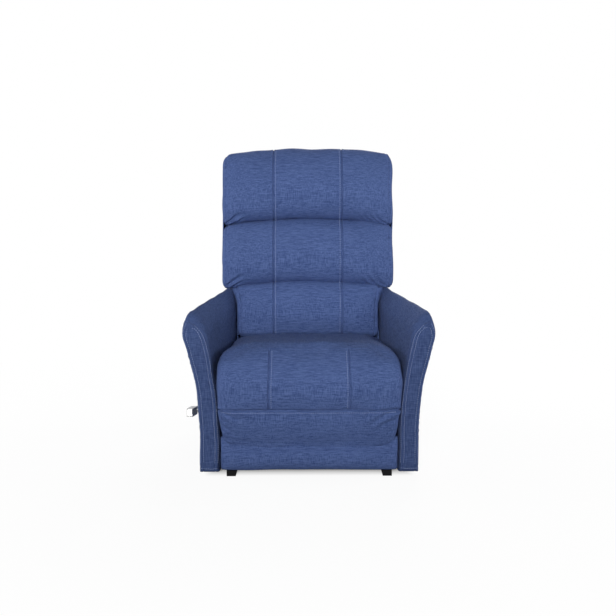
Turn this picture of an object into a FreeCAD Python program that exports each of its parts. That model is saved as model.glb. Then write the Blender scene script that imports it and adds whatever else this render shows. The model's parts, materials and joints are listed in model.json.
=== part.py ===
import FreeCAD, Part
import math
import os

# Lift recliner chair, millimetres. It is laid out with X to the right as seen from the front,
# Y growing from the front of the arms towards the rear, and Z up from the floor.
# At the end it is moved so that the origin lies under the middle of its bounding box.
# "Left" and "right" are those of the person who sits in it, so left is +X.

Vector = FreeCAD.Vector

# Overall sizes
SEAT_GAP = 598.0
ARM_TOP = 564.0
ARM_BOTTOM = 20.0
ARM_LENGTH = 700.0
BACK_TOP = 765.0
BACK_RAKE = 13.0
SEAT_FRONT_HEIGHT = 435.0
SEAT_REAR_HEIGHT = 384.0

# Clearances
SOFT_GAP = 0.3
RUN_GAP = 0.05
OPEN_GAP = 2.5
SIDE_GAP = 3.0

# Steel sections
PLATE = 6.0
BRACKET_PLATE = 4.0
RAIL_WIDTH = 30.0
RAIL_HEIGHT = 30.0
FOOT_HEIGHT = 20.0
TORQUE_TUBE_R = 15.0
PIN_R = 8.0
HINGE_PIN_R = 6.0
ROD_PIN_R = 5.0
LINK_HALF = 15.0
LONG_LINK_HALF = 17.0
LINK_HUB_R = 24.0
SHAFT_R = 8.0

# Layers of steel on each side, from the base rail inwards
RAIL_OUT = SEAT_GAP / 2 - 18.0
RAIL_IN = RAIL_OUT - RAIL_WIDTH
REAR_LINK_OUT = RAIL_IN - BRACKET_PLATE - 1.0
REAR_LINK_IN = REAR_LINK_OUT - PLATE
SIDE_OUT = REAR_LINK_IN - 6.0
SIDE_IN = SIDE_OUT - PLATE
FRONT_LINK_OUT = SIDE_IN - 4.0
FRONT_LINK_IN = FRONT_LINK_OUT - PLATE
BACK_BRACKET_OUT = SIDE_IN - 2.0
BACK_BRACKET_IN = BACK_BRACKET_OUT - PLATE
LEG_OUT = SIDE_IN - 12.0
LEG_IN = LEG_OUT - PLATE
ROD_OUT = LEG_IN - 2.0
ROD_IN = ROD_OUT - PLATE

# Pivots of the lift linkage, as (Y, Z)
FRONT_BASE = (110.0, 52.0)
FRONT_CHASSIS = (300.0, 85.0)
REAR_BASE = (170.0, 52.0)
REAR_CHASSIS = (640.0, 110.0)
FRONT_LINK_BEND = (165.0, 92.0)

# Pivots of the actuator
MOTOR_PIVOT = (344.7, 55.0)
DRIVE_PIVOT = (195.9, 220.0)

# Pivots of the legrest, its hand lever and the back
LEG_HINGE = (40.0, 365.0)
LEVER_AXIS = (235.0, 168.0)
CRANK_REACH = (29.9, -63.3)
BACK_HINGE = (560.0, 360.0)

# Base frame
BASE_FRONT = 36.0
BASE_REAR = 676.0
FRONT_TUBE_Y = 42.0
MIDDLE_TUBE_Y = 363.0
REAR_TUBE_Y = 640.0
TUBE_DEPTH = 26.0
FOOT_LENGTH = 58.0
FOOT_TOE = 34.0
FOOT_FLARE = 6.0
INLET_X = 118.0
INLET_WIDTH = 56.0
INLET_HEIGHT = 28.0
SOCKET_R = 7.0
SOCKET_DEPTH = 14.0

# Actuator
MOTOR_R = 27.0
MOTOR_LENGTH = 100.0
CASE_START = 24.0
CASE_END = 88.0
CASE_HALF = 27.0
LUG_HALF = 12.0
OUTER_TUBE_R = 17.0
OUTER_TUBE_END = 178.0
ROD_R = 9.0
ROD_TAIL = 120.0
CLEVIS_HALF = 17.0
CLEVIS_WIDTH = 18.0
SLOT_SLIP = 4.5
ARM_PLATE_IN = CLEVIS_WIDTH + 1.0
EAR_IN = 14.5
EAR = 5.0
EAR_HALF = 12.5
MOTOR_PIN_HALF = 24.0

# Seat frame
BOARD = 22.0
SEAT_BOARD_HEIGHT = 90.0
SEAT_BOARD_FRONT = 64.0
SEAT_BOARD_REAR = 596.0
RAIL_TOP_FRONT = 330.0
RAIL_TOP_REAR = 290.0
FRONT_RAIL_Y = 90.0
REAR_RAIL_Y = 574.0
CROSS_RAIL_HEIGHT = 32.0
SPRING_COUNT = 4
SPRING_PITCH = 96.0
SPRING_WIDTH = 58.0
SPRING_LOOPS = 6
WIRE = 4.0

# Seat upholstery
SEAT_FRONT = 58.0
SEAT_REAR = 518.0
SEAT_HALF_FRONT = SEAT_GAP / 2 + 7.0
SEAT_HALF_REAR = SEAT_GAP / 2 - 21.0
KNEE_R = SEAT_FRONT_HEIGHT - LEG_HINGE[1]
HINGE_ROOM_R = 22.0

# Legrest
PAD_FRONT = LEG_HINGE[0] - KNEE_R
LEG_BOARD_FRONT = 20.0
LEG_BOARD = 12.0
PAD_BOTTOM = 105.0
PAD_TOP = 331.5
PANEL_BOTTOM = 22.0

# Hand lever
LEVER_IN = SEAT_GAP / 2 + 105.0
LEVER_WIDTH = 21.0
LEVER_HEIGHT = 29.0
LEVER_LENGTH = 145.0
LEVER_RISE = 12.0
CAP_LENGTH = 14.0
ESCUTCHEON_R = 22.0
SLEEVE_R = 16.0
SLEEVE_LENGTH = 22.0
FLANGE = 4.0

# Arms: height of each level of the section above the floor, and the inner and outer
# surfaces at the front and at the rear, measured from half of the seat gap
ARM_LEVELS = (0.0, 0.33, 0.55, 0.77, 0.91)
FRONT_INNER = (0.0, 0.0, 13.0, 37.0, 58.0)
FRONT_OUTER = (70.0, 72.0, 84.0, 119.0, 131.0)
REAR_INNER = (-11.0, -11.0, -17.0, -18.0, -13.0)
REAR_OUTER = (51.0, 51.0, 52.0, 55.0, 55.0)
FRONT_CREST = 110.0
REAR_CREST = 14.0
ARM_ROLL_R = 55.0
ARM_TAPER_LENGTH = 600.0
ARM_REAR_DROP = 46.0
ARM_WALL = 14.0
ARM_RAIL_IN = SEAT_GAP / 2 + 24.0
ARM_RAIL = 10.0
ARM_BRACKET_YS = (150.0, 500.0)
ARM_BRACKET_ZS = (240.0, 262.0)
ARM_BRACKET_WIDTH = 40.0
ARM_BRACKET_WALL = 3.0
END_BOARD = 15.0
LOW_RAIL_ZS = (30.0, 90.0)
HIGH_RAIL_ZS = (206.0, 256.0)
POST_YS = (330.0, 370.0)
REAR_PANEL_TOP = 240.0

# Hand switch in the outer side of the left arm
SWITCH_Y = 205.0
SWITCH_Z = 230.0
SWITCH_FACE = SEAT_GAP / 2 + 71.0
BUTTON_WIDTH = 28.0
BUTTON_HEIGHT = 36.0
BUTTON_PROUD = 3.0
SWITCH_HALF_Y = BUTTON_WIDTH + 11.0
SWITCH_HALF_Z = BUTTON_HEIGHT / 2 + 9.0
BEZEL = 5.0
SWITCH_DEPTH = 24.0

# Back, drawn upright with its hinge at the origin and then leant back by its rake
BACK_PANEL_FRONT = 42.0
BACK_DEPTH = 135.0
BACK_WALL = 14.0
BACK_EDGE_SHARE = 0.62
COVER_DROP = 8.0
LOW_HALF = SEAT_GAP / 2 - 27.0
WING_HALF = SEAT_GAP / 2 + 39.0
LUMBAR_BOTTOM = 16.0
WING_BOTTOM = 219.0
HEAD_BOTTOM = 469.0
STILE = 24.0
BACK_SEAT_FRONT = -43.0


def box(x_from, x_to, y_from, y_to, z_from, z_to):
    """A block between six planes."""
    corner = Vector(min(x_from, x_to), y_from, z_from)
    return Part.makeBox(abs(x_to - x_from), y_to - y_from, z_to - z_from, corner)


def pin(centre, radius, x_from, x_to):
    """A round bar along X through a pivot given as (Y, Z)."""
    start = Vector(min(x_from, x_to), centre[0], centre[1])
    return Part.makeCylinder(radius, abs(x_to - x_from), start, Vector(1, 0, 0))


def rounded_wire(points, radii):
    """A closed outline of Vectors whose corners are tangent arcs."""
    if not isinstance(radii, (list, tuple)):
        radii = [radii] * len(points)
    joints = []
    for i, point in enumerate(points):
        before = (points[i - 1] - point).normalize()
        after = (points[(i + 1) % len(points)] - point).normalize()
        half = before.getAngle(after) / 2
        if radii[i] <= 0 or abs(half - math.pi / 2) < 1e-6:
            joints.append((point, None, point))
            continue
        reach = radii[i] / math.tan(half)
        middle = point + (before + after).normalize() * (radii[i] / math.sin(half) - radii[i])
        joints.append((point + before * reach, middle, point + after * reach))
    edges = []
    for i, (start, middle, end) in enumerate(joints):
        if middle is not None:
            edges.append(Part.Arc(start, middle, end).toShape())
        following = joints[(i + 1) % len(joints)][0]
        if end.distanceToPoint(following) > 1e-6:
            edges.append(Part.LineSegment(end, following).toShape())
    return Part.Wire(edges)


def side_prism(points, radii, x_from, x_to):
    """An outline of (Y, Z) points with rounded corners, extruded along X."""
    low = min(x_from, x_to)
    wire = rounded_wire([Vector(low, y, z) for y, z in points], radii)
    return Part.Face(wire).extrude(Vector(abs(x_to - x_from), 0, 0))


def plan_prism(points, radii, z_from, z_to):
    """An outline of (X, Y) points with rounded corners, extruded upwards."""
    wire = rounded_wire([Vector(x, y, z_from) for x, y in points], radii)
    return Part.Face(wire).extrude(Vector(0, 0, z_to - z_from))


def front_prism(points, radii, y_from, y_to):
    """An outline of (X, Z) points with rounded corners, extruded towards the rear."""
    wire = rounded_wire([Vector(x, y_from, z) for x, z in points], radii)
    return Part.Face(wire).extrude(Vector(0, y_to - y_from, 0))


def link_bar(first, second, radius, x_from, x_to):
    """A flat link with round ends at two pivots."""
    along = Vector(0, second[0] - first[0], second[1] - first[1])
    length = along.Length
    angle = math.degrees(math.atan2(second[1] - first[1], second[0] - first[0]))
    low = min(x_from, x_to)
    wide = abs(x_to - x_from)
    bar = Part.makeBox(wide, length, 2 * radius, Vector(low, 0, -radius))
    bar = bar.fuse([pin((0, 0), radius, x_from, x_to), pin((length, 0), radius, x_from, x_to)])
    bar = bar.removeSplitter()
    bar.rotate(Vector(0, 0, 0), Vector(1, 0, 0), angle)
    bar.translate(Vector(0, first[0], first[1]))
    return bar


def mirrored(shape):
    """The same piece on the other side of the chair."""
    return shape.mirror(Vector(0, 0, 0), Vector(1, 0, 0))


def pair(shape):
    """A piece and its mirror image."""
    return [shape, mirrored(shape)]


def pivot_sum(pivot, offset):
    return (pivot[0] + offset[0], pivot[1] + offset[1])


def tilted(shape):
    """Leans a piece of the upright back about the back hinge."""
    leant = shape.copy()
    leant.rotate(Vector(0, 0, 0), Vector(1, 0, 0), -BACK_RAKE)
    leant.translate(Vector(0, BACK_HINGE[0], BACK_HINGE[1]))
    return leant


# Base

def base_side_rail():
    """Square tube along the floor on the left, resting on its feet."""
    top = FOOT_HEIGHT + RAIL_HEIGHT
    outer = box(RAIL_IN, RAIL_OUT, BASE_FRONT, BASE_REAR, FOOT_HEIGHT, top)
    wall = 3.0
    inner = box(RAIL_IN + wall, RAIL_OUT - wall, BASE_FRONT, BASE_REAR,
                FOOT_HEIGHT + wall, top - wall)
    return outer.cut(inner)


def base_cross_tubes():
    """Three tubes that tie the two side rails together."""
    tubes = []
    for y in (FRONT_TUBE_Y, MIDDLE_TUBE_Y, REAR_TUBE_Y):
        tubes.append(box(-RAIL_IN, RAIL_IN, y, y + TUBE_DEPTH,
                         FOOT_HEIGHT, FOOT_HEIGHT + TUBE_DEPTH))
    return tubes


def base_feet():
    """Four glides with a slanted inner side; the front pair reach out under the front panel."""
    outline = [(RAIL_OUT + 1, 0), (RAIL_OUT + 1, FOOT_HEIGHT),
               (RAIL_IN - FOOT_FLARE, FOOT_HEIGHT), (RAIL_IN, 0)]
    front = front_prism(outline, 0, BASE_FRONT - FOOT_TOE, BASE_FRONT + FOOT_LENGTH - FOOT_TOE)
    rear = front_prism(outline, 0, BASE_REAR - FOOT_LENGTH, BASE_REAR)
    return pair(front) + pair(rear)


def base_pivot_brackets():
    """Upright ears welded inside the rails, which hold the pins of the two torque tubes."""
    low = FOOT_HEIGHT + 4.0
    reach = 17.0
    outline = []
    for y, z in (FRONT_BASE, REAR_BASE):
        outline.append([(y - reach - 8, low), (y - reach, z + 6), (y - 8, z + reach),
                        (y + 8, z + reach), (y + reach, z + 6), (y + reach + 8, low)])
    ears = []
    for points, pivot in zip(outline, (FRONT_BASE, REAR_BASE)):
        ear = side_prism(points, 0, RAIL_IN - BRACKET_PLATE, RAIL_IN)
        ear = ear.cut(pin(pivot, PIN_R, RAIL_IN - BRACKET_PLATE, RAIL_IN))
        ears += pair(ear)
    return ears


def base_pivot_pins():
    """Headed pins from the ears into the bores of the torque tubes."""
    pins = []
    for pivot in (FRONT_BASE, REAR_BASE):
        shank = pin(pivot, PIN_R, RAIL_IN - 36, RAIL_IN)
        pins += pair(shank)
    return pins


def actuator_base_bracket():
    """Two ears from the middle tube forward to the actuator's rear pivot, and their pin."""
    tube = box(-RAIL_IN, RAIL_IN, MIDDLE_TUBE_Y, MIDDLE_TUBE_Y + TUBE_DEPTH,
               FOOT_HEIGHT, FOOT_HEIGHT + TUBE_DEPTH)
    root = (MIDDLE_TUBE_Y + EAR_HALF, FOOT_HEIGHT + TUBE_DEPTH / 2)
    ear = link_bar(MOTOR_PIVOT, root, EAR_HALF, EAR_IN, EAR_IN + EAR).cut(tube)
    ear = ear.cut(pin(MOTOR_PIVOT, HINGE_PIN_R, EAR_IN, EAR_IN + EAR))
    largest = max(ear.Solids, key=lambda solid: solid.Volume)
    cross = pin(MOTOR_PIVOT, HINGE_PIN_R, -MOTOR_PIN_HALF, MOTOR_PIN_HALF)
    return pair(largest) + [cross]


def power_inlet():
    """Low-voltage inlet in a small box on the rear tube, with an empty round socket."""
    base = FOOT_HEIGHT + TUBE_DEPTH
    half = INLET_WIDTH / 2
    body = box(INLET_X - half, INLET_X + half, REAR_TUBE_Y - 2, REAR_TUBE_Y + TUBE_DEPTH,
               base, base + INLET_HEIGHT)
    body = body.makeFillet(3, [e for e in body.Edges if abs(e.tangentAt(0).z) > 0.9])
    middle = Vector(INLET_X, REAR_TUBE_Y + TUBE_DEPTH, base + INLET_HEIGHT / 2)
    socket = Part.makeCylinder(SOCKET_R, SOCKET_DEPTH, middle, Vector(0, -1, 0))
    contact = Part.makeCylinder(1.5, 11, middle - Vector(0, SOCKET_DEPTH, 0), Vector(0, 1, 0))
    return [body.cut(socket).fuse(contact)]


# Lift linkage

def torque_tube(pivot):
    """Tube across the chair that keeps its pair of links in step."""
    tube = pin(pivot, TORQUE_TUBE_R, -REAR_LINK_OUT, REAR_LINK_OUT)
    return tube.cut(pin(pivot, PIN_R + RUN_GAP, -REAR_LINK_OUT, REAR_LINK_OUT))


def front_link():
    """Short lift link inside the side plate, bent so that it clears the rear torque tube."""
    rise = link_bar(FRONT_BASE, FRONT_LINK_BEND, LINK_HALF, FRONT_LINK_IN, FRONT_LINK_OUT)
    reach = link_bar(FRONT_LINK_BEND, FRONT_CHASSIS, LINK_HALF, FRONT_LINK_IN, FRONT_LINK_OUT)
    hub = pin(FRONT_BASE, LINK_HUB_R, FRONT_LINK_IN, FRONT_LINK_OUT)
    link = rise.fuse([reach, hub]).removeSplitter()
    link = link.cut(pin(FRONT_BASE, TORQUE_TUBE_R, FRONT_LINK_IN, FRONT_LINK_OUT))
    return link.cut(pin(FRONT_CHASSIS, PIN_R + RUN_GAP, FRONT_LINK_IN, FRONT_LINK_OUT))


def rear_link():
    """Long lift link outside the side plate, to the rear of the chassis."""
    link = link_bar(REAR_BASE, REAR_CHASSIS, LONG_LINK_HALF, REAR_LINK_IN, REAR_LINK_OUT)
    link = link.fuse(pin(REAR_BASE, LINK_HUB_R, REAR_LINK_IN, REAR_LINK_OUT)).removeSplitter()
    link = link.cut(pin(REAR_BASE, TORQUE_TUBE_R, REAR_LINK_IN, REAR_LINK_OUT))
    return link.cut(pin(REAR_CHASSIS, PIN_R, REAR_LINK_IN, REAR_LINK_OUT))


def rear_link_pins():
    """Pins of the long links, which pass through the wide bores of the side plates."""
    head = SIDE_IN - 3
    shank = pin(REAR_CHASSIS, PIN_R, head, REAR_LINK_OUT + 2)
    return pair(shank.fuse(pin(REAR_CHASSIS, 15, head - 4, head)))


def drive_arm():
    """Two plates from the rear torque tube up to the actuator, with their pin."""
    plate = link_bar(REAR_BASE, DRIVE_PIVOT, LINK_HALF, ARM_PLATE_IN, ARM_PLATE_IN + PLATE)
    root = pin(REAR_BASE, LINK_HUB_R + 1, ARM_PLATE_IN, ARM_PLATE_IN + PLATE)
    plate = plate.fuse(root).removeSplitter()
    plate = plate.cut(pin(REAR_BASE, TORQUE_TUBE_R, ARM_PLATE_IN, ARM_PLATE_IN + PLATE))
    plate = plate.cut(pin(DRIVE_PIVOT, HINGE_PIN_R, ARM_PLATE_IN, ARM_PLATE_IN + PLATE))
    outer = ARM_PLATE_IN + PLATE + 4
    return pair(plate) + [pin(DRIVE_PIVOT, HINGE_PIN_R, -outer, outer)]


# Actuator, drawn along +Y from its rear pivot and then turned to its place

def actuator_length():
    return math.hypot(DRIVE_PIVOT[0] - MOTOR_PIVOT[0], DRIVE_PIVOT[1] - MOTOR_PIVOT[1])


def aimed(shape):
    """Turns a piece drawn along Y from the rear pivot towards the drive pivot."""
    rise = DRIVE_PIVOT[1] - MOTOR_PIVOT[1]
    run = DRIVE_PIVOT[0] - MOTOR_PIVOT[0]
    turned = shape.copy()
    turned.rotate(Vector(0, 0, 0), Vector(1, 0, 0), math.degrees(math.atan2(rise, run)))
    turned.translate(Vector(0, MOTOR_PIVOT[0], MOTOR_PIVOT[1]))
    return turned


def along(radius, start, end):
    """A round bar on the actuator's axis."""
    return Part.makeCylinder(radius, end - start, Vector(0, start, 0), Vector(0, 1, 0))


def actuator_gear_case():
    """Moulded gear case with the lug of the rear pivot."""
    case = box(-CASE_HALF, CASE_HALF, CASE_START, CASE_END, -CASE_HALF, CASE_HALF)
    case = case.makeFillet(8, [e for e in case.Edges if abs(e.tangentAt(0).y) > 0.9])
    lug = box(-LUG_HALF, LUG_HALF, 0, CASE_START, -LUG_HALF, LUG_HALF)
    lug = lug.fuse(pin((0, 0), LUG_HALF, -LUG_HALF, LUG_HALF)).removeSplitter()
    case = case.fuse(lug).removeSplitter()
    case = case.cut(pin((0, 0), HINGE_PIN_R + RUN_GAP, -LUG_HALF, LUG_HALF))
    return [aimed(case.cut(along(ROD_R + 0.5, CASE_START + 8, CASE_END)))]


def actuator_motor():
    """Motor can on the side of the gear case, with a stepped end cap."""
    middle = (CASE_START + CASE_END) / 2
    can = pin((middle, 0), MOTOR_R, CASE_HALF, CASE_HALF + MOTOR_LENGTH)
    cap = pin((middle, 0), MOTOR_R - 7, CASE_HALF + MOTOR_LENGTH, CASE_HALF + MOTOR_LENGTH + 6)
    return [aimed(can.fuse(cap))]


def actuator_outer_tube():
    """Guide tube that the rod slides out of."""
    tube = along(OUTER_TUBE_R, CASE_END, OUTER_TUBE_END)
    return [aimed(tube.cut(along(ROD_R + RUN_GAP, CASE_END, OUTER_TUBE_END)))]


def actuator_rod():
    """Polished rod, drawn in at rest."""
    return [aimed(along(ROD_R, ROD_TAIL, actuator_length() - CLEVIS_HALF - 2))]


def rod_clevis():
    """Rod end with a slot: the chair can stop on something without being pulled down on it."""
    length = actuator_length()
    block = pin((length, 0), CLEVIS_HALF - 3, -CLEVIS_WIDTH, CLEVIS_WIDTH)
    root = box(-CLEVIS_WIDTH, CLEVIS_WIDTH, length - CLEVIS_HALF - 2, length,
               -CLEVIS_HALF + 3, CLEVIS_HALF - 3)
    block = block.fuse(root).removeSplitter()
    slot_r = HINGE_PIN_R + 0.6
    slot = link_bar((length - SLOT_SLIP, 0), (length + SLOT_SLIP, 0), slot_r,
                    -CLEVIS_WIDTH, CLEVIS_WIDTH)
    return [aimed(block.cut(slot))]


# Chassis

def side_plate(with_lever):
    """Deep pressed side plate that carries every pivot of the chair's body."""
    top_front = RAIL_TOP_FRONT + 2
    top_rear = RAIL_TOP_REAR + 2
    leg_y, leg_z = LEG_HINGE
    back_y, back_z = BACK_HINGE
    ear = 14.0
    outline = [
        (leg_y - 16, leg_z + ear), (leg_y + ear, leg_z + ear), (leg_y + 16, top_front),
        (back_y - 30, top_rear), (back_y - ear, back_z + ear), (back_y + ear, back_z + ear),
        (back_y + ear, back_z - 18), (REAR_CHASSIS[0] + 24, REAR_CHASSIS[1] + 20),
        (REAR_CHASSIS[0] + 24, REAR_CHASSIS[1] - 22), (FRONT_CHASSIS[0] - 22, FRONT_CHASSIS[1] - 21),
        (LEVER_AXIS[0] - 24, LEVER_AXIS[1] - 18), (leg_y - 16, leg_z - 20)]
    radii = [12, 13, 0, 16, 13, 13, 0, 18, 18, 18, 24, 12]
    plate = side_prism(outline, radii, SIDE_IN, SIDE_OUT)
    for pivot, radius in ((FRONT_CHASSIS, PIN_R), (REAR_CHASSIS, PIN_R + OPEN_GAP),
                          (LEG_HINGE, HINGE_PIN_R), (BACK_HINGE, HINGE_PIN_R)):
        plate = plate.cut(pin(pivot, radius, SIDE_IN, SIDE_OUT))
    if with_lever:
        plate = plate.cut(pin(LEVER_AXIS, SHAFT_R + RUN_GAP, SIDE_IN, SIDE_OUT))
    return plate


def seat_slope(y):
    """Height of the top of the seat frame at a place along its length."""
    share = (y - FRONT_RAIL_Y) / (REAR_RAIL_Y - FRONT_RAIL_Y)
    return RAIL_TOP_FRONT + share * (RAIL_TOP_REAR - RAIL_TOP_FRONT)


def seat_side_boards():
    """Hardwood boards fixed outside the side plates."""
    points = [(SEAT_BOARD_FRONT, seat_slope(SEAT_BOARD_FRONT) - SEAT_BOARD_HEIGHT),
              (SEAT_BOARD_FRONT, seat_slope(SEAT_BOARD_FRONT)),
              (SEAT_BOARD_REAR, seat_slope(SEAT_BOARD_REAR)),
              (SEAT_BOARD_REAR, seat_slope(SEAT_BOARD_REAR) - SEAT_BOARD_HEIGHT)]
    return pair(side_prism(points, 0, SIDE_OUT, SIDE_OUT + BOARD))


def seat_cross_rails():
    """Front and rear boards between the side plates, which hold the springs."""
    front = box(-SIDE_IN, SIDE_IN, FRONT_RAIL_Y, FRONT_RAIL_Y + BOARD,
                RAIL_TOP_FRONT - CROSS_RAIL_HEIGHT, RAIL_TOP_FRONT - 2)
    rear = box(-SIDE_IN, SIDE_IN, REAR_RAIL_Y, REAR_RAIL_Y + BOARD,
               RAIL_TOP_REAR - CROSS_RAIL_HEIGHT, RAIL_TOP_REAR - 2)
    return [front, rear]


def seat_spring():
    """One sinuous spring: runs across the seat joined by chamfered turns, cut from its path."""
    length = REAR_RAIL_Y - FRONT_RAIL_Y + 16
    step = length / SPRING_LOOPS
    swing = SPRING_WIDTH / 2
    corner = step / 3
    points = [Vector(-swing, 0, 0)]
    for loop in range(SPRING_LOOPS):
        side = 1 if loop % 2 == 0 else -1
        y = loop * step
        points += [Vector(side * (swing - corner), y, 0), Vector(side * swing, y + corner, 0),
                   Vector(side * swing, y + step - corner, 0),
                   Vector(side * (swing - corner), y + step, 0)]
    points.append(Vector(-side * swing, length, 0))
    path = Part.makePolygon(points)
    spring = path.makeOffset2D(WIRE / 2, 2, True, False, False).extrude(Vector(0, 0, WIRE))
    slope = math.degrees(math.atan2(RAIL_TOP_REAR - RAIL_TOP_FRONT, REAR_RAIL_Y - FRONT_RAIL_Y))
    spring.rotate(Vector(0, 0, 0), Vector(1, 0, 0), slope)
    spring.translate(Vector(0, FRONT_RAIL_Y + 4, RAIL_TOP_FRONT - 0.4))
    return spring


def seat_springs():
    """Row of sinuous springs from the front board to the rear one."""
    row = []
    for i in range(SPRING_COUNT):
        spring = seat_spring()
        spring.translate(Vector((i - (SPRING_COUNT - 1) / 2) * SPRING_PITCH, 0, 0))
        row.append(spring)
    return row


def seat_cushion():
    """Foam block of the seat behind the knee roll, narrower at the rear."""
    base_front = seat_slope(SEAT_FRONT) + 6
    base_rear = seat_slope(SEAT_REAR) + 6
    outline = [(SEAT_FRONT, base_front), (SEAT_FRONT, SEAT_FRONT_HEIGHT),
               (SEAT_REAR, SEAT_REAR_HEIGHT), (SEAT_REAR, base_rear)]
    wide = SEAT_GAP
    block = side_prism(outline, [0, 0, 12, 4], -wide, wide)
    plan = [(-SEAT_HALF_FRONT, SEAT_FRONT), (SEAT_HALF_FRONT, SEAT_FRONT),
            (SEAT_HALF_REAR, SEAT_REAR), (-SEAT_HALF_REAR, SEAT_REAR)]
    return [block.common(plan_prism(plan, [0, 0, 12, 12], base_rear - 50, SEAT_FRONT_HEIGHT + 50))]


def knee_roll():
    """Soft front edge of the seat, which bends round the legrest hinge as it opens."""
    y, z = LEG_HINGE
    outer = KNEE_R - 1
    inner = HINGE_ROOM_R
    low = PAD_TOP + SOFT_GAP
    back = SEAT_FRONT - SOFT_GAP
    diagonal = math.sqrt(0.5)
    half = SEAT_HALF_FRONT + 3

    def at(dy, dz):
        return Vector(-half, y + dy, z + dz)

    edges = [
        Part.LineSegment(Vector(-half, y - outer, low), at(-outer, 0)).toShape(),
        Part.Arc(at(-outer, 0), at(-outer * diagonal, outer * diagonal), at(0, outer)).toShape(),
        Part.LineSegment(at(0, outer), Vector(-half, back, z + outer)).toShape(),
        Part.LineSegment(Vector(-half, back, z + outer), Vector(-half, back, z + inner)).toShape(),
        Part.LineSegment(Vector(-half, back, z + inner), at(0, inner)).toShape(),
        Part.Arc(at(0, inner), at(-inner * diagonal, inner * diagonal), at(-inner, 0)).toShape(),
        Part.LineSegment(at(-inner, 0), Vector(-half, y - inner, low)).toShape(),
        Part.LineSegment(Vector(-half, y - inner, low), Vector(-half, y - outer, low)).toShape()]
    return [Part.Face(Part.Wire(edges)).extrude(Vector(2 * half, 0, 0))]


def hinge_pins():
    """Pins fixed in the side plates for the short links, the legrest and the back."""
    pins = []
    for pivot, radius, inner in ((FRONT_CHASSIS, PIN_R, FRONT_LINK_IN),
                                 (LEG_HINGE, HINGE_PIN_R, LEG_IN),
                                 (BACK_HINGE, HINGE_PIN_R, BACK_BRACKET_IN)):
        pins += pair(pin(pivot, radius, inner - 3, SIDE_OUT + 3))
    return pins


# Arms

def arm_top(y):
    """Height of the arm's crest: it rolls over at the front and drops at the rear."""
    if y < ARM_ROLL_R:
        return ARM_TOP - ARM_ROLL_R + math.sqrt(ARM_ROLL_R ** 2 - (ARM_ROLL_R - y) ** 2)
    if y > ARM_TAPER_LENGTH:
        share = (y - ARM_TAPER_LENGTH) / (ARM_LENGTH - ARM_TAPER_LENGTH)
        return ARM_TOP - ARM_REAR_DROP * math.sin(share * math.pi / 2)
    return ARM_TOP


def mix(front, rear, share):
    return front + (rear - front) * share


def arm_section(y, inset, at_y):
    """Closed section of the arm at a place along it, shrunk by the thickness of its wall."""
    share = min(1.0, y / ARM_TAPER_LENGTH)
    half_gap = SEAT_GAP / 2
    full = ARM_TOP - ARM_BOTTOM
    top = arm_top(y) - 1.6 * inset
    roll_from = ARM_LEVELS[3] * full + ARM_BOTTOM
    inner = []
    outer = []
    for i, level in enumerate(ARM_LEVELS):
        z = ARM_BOTTOM + level * full
        if z > roll_from:
            z = roll_from + (z - roll_from) * (top - roll_from) / (ARM_TOP - roll_from)
        inner.append(Vector(half_gap + mix(FRONT_INNER[i], REAR_INNER[i], share) + inset, at_y, z))
        outer.append(Vector(half_gap + mix(FRONT_OUTER[i], REAR_OUTER[i], share) - inset, at_y, z))
    crest = Vector(half_gap + mix(FRONT_CREST, REAR_CREST, share), at_y, top)
    if inset > 0:
        inner[0].z -= 2 * inset
        outer[0].z -= 2 * inset
    curve = Part.BSplineCurve()
    curve.interpolate(inner[1:] + [crest] + outer[:0:-1])
    edges = [Part.LineSegment(inner[0], inner[1]).toShape(), curve.toShape(),
             Part.LineSegment(outer[1], outer[0]).toShape(),
             Part.LineSegment(outer[0], inner[0]).toShape()]
    return Part.Wire(edges)


def arm_body():
    """Padded arm on the left as one lofted form, still without its pocket."""
    roll = [ARM_ROLL_R * (1 - math.cos(math.radians(turn))) for turn in (0, 30, 60, 90)]
    middle = [mix(ARM_ROLL_R, ARM_TAPER_LENGTH, share / 3) for share in (1, 2, 3)]
    rear = [mix(ARM_TAPER_LENGTH, ARM_LENGTH, share / 2) for share in (1, 2)]
    return Part.makeLoft([arm_section(y, 0, y) for y in roll + middle + rear], True, True)


def arm_pocket():
    """Hollow of the arm, open underneath, which holds its frame."""
    stations = (ARM_ROLL_R, ARM_TAPER_LENGTH / 2, ARM_TAPER_LENGTH, ARM_LENGTH)
    places = (ARM_WALL, ARM_TAPER_LENGTH / 2, ARM_TAPER_LENGTH, ARM_LENGTH - ARM_WALL)
    sections = [arm_section(y, ARM_WALL, place) for y, place in zip(stations, places)]
    sections[0] = arm_section(0, ARM_WALL, ARM_WALL)
    return Part.makeLoft(sections, True, True)


def bracket_block(y, room):
    """Space of one arm bracket, with room round it."""
    low, high = ARM_BRACKET_ZS
    half = ARM_BRACKET_WIDTH / 2 + room
    return box(SIDE_OUT + BOARD, ARM_RAIL_IN, y - half, y + half, low - room, high + room)


def arm_cover(with_lever):
    """Padded cover of one arm, drawn on the left side."""
    cover = arm_body().cut(arm_pocket())
    for y in ARM_BRACKET_YS:
        cover = cover.cut(bracket_block(y, 1.0))
    if with_lever:
        face = escutcheon_face()
        sleeve_end = face - FLANGE - SLEEVE_LENGTH
        cover = cover.cut(pin(LEVER_AXIS, SHAFT_R + 5, SEAT_GAP / 2 - 20, sleeve_end))
        cover = cover.cut(pin(LEVER_AXIS, SLEEVE_R, sleeve_end, LEVER_IN))
        cover = cover.cut(pin(LEVER_AXIS, ESCUTCHEON_R, face - FLANGE, LEVER_IN))
    else:
        cover = cover.cut(switch_space())
    return cover


def arm_end_board(y, at_y, top):
    """Plywood board that fills the pocket at one end of the arm."""
    board = Part.Face(arm_section(y, ARM_WALL + 3, at_y)).extrude(Vector(0, END_BOARD, 0))
    room = box(0, SEAT_GAP, at_y, at_y + END_BOARD, ARM_BOTTOM + 4, top)
    return board.common(room)


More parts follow.
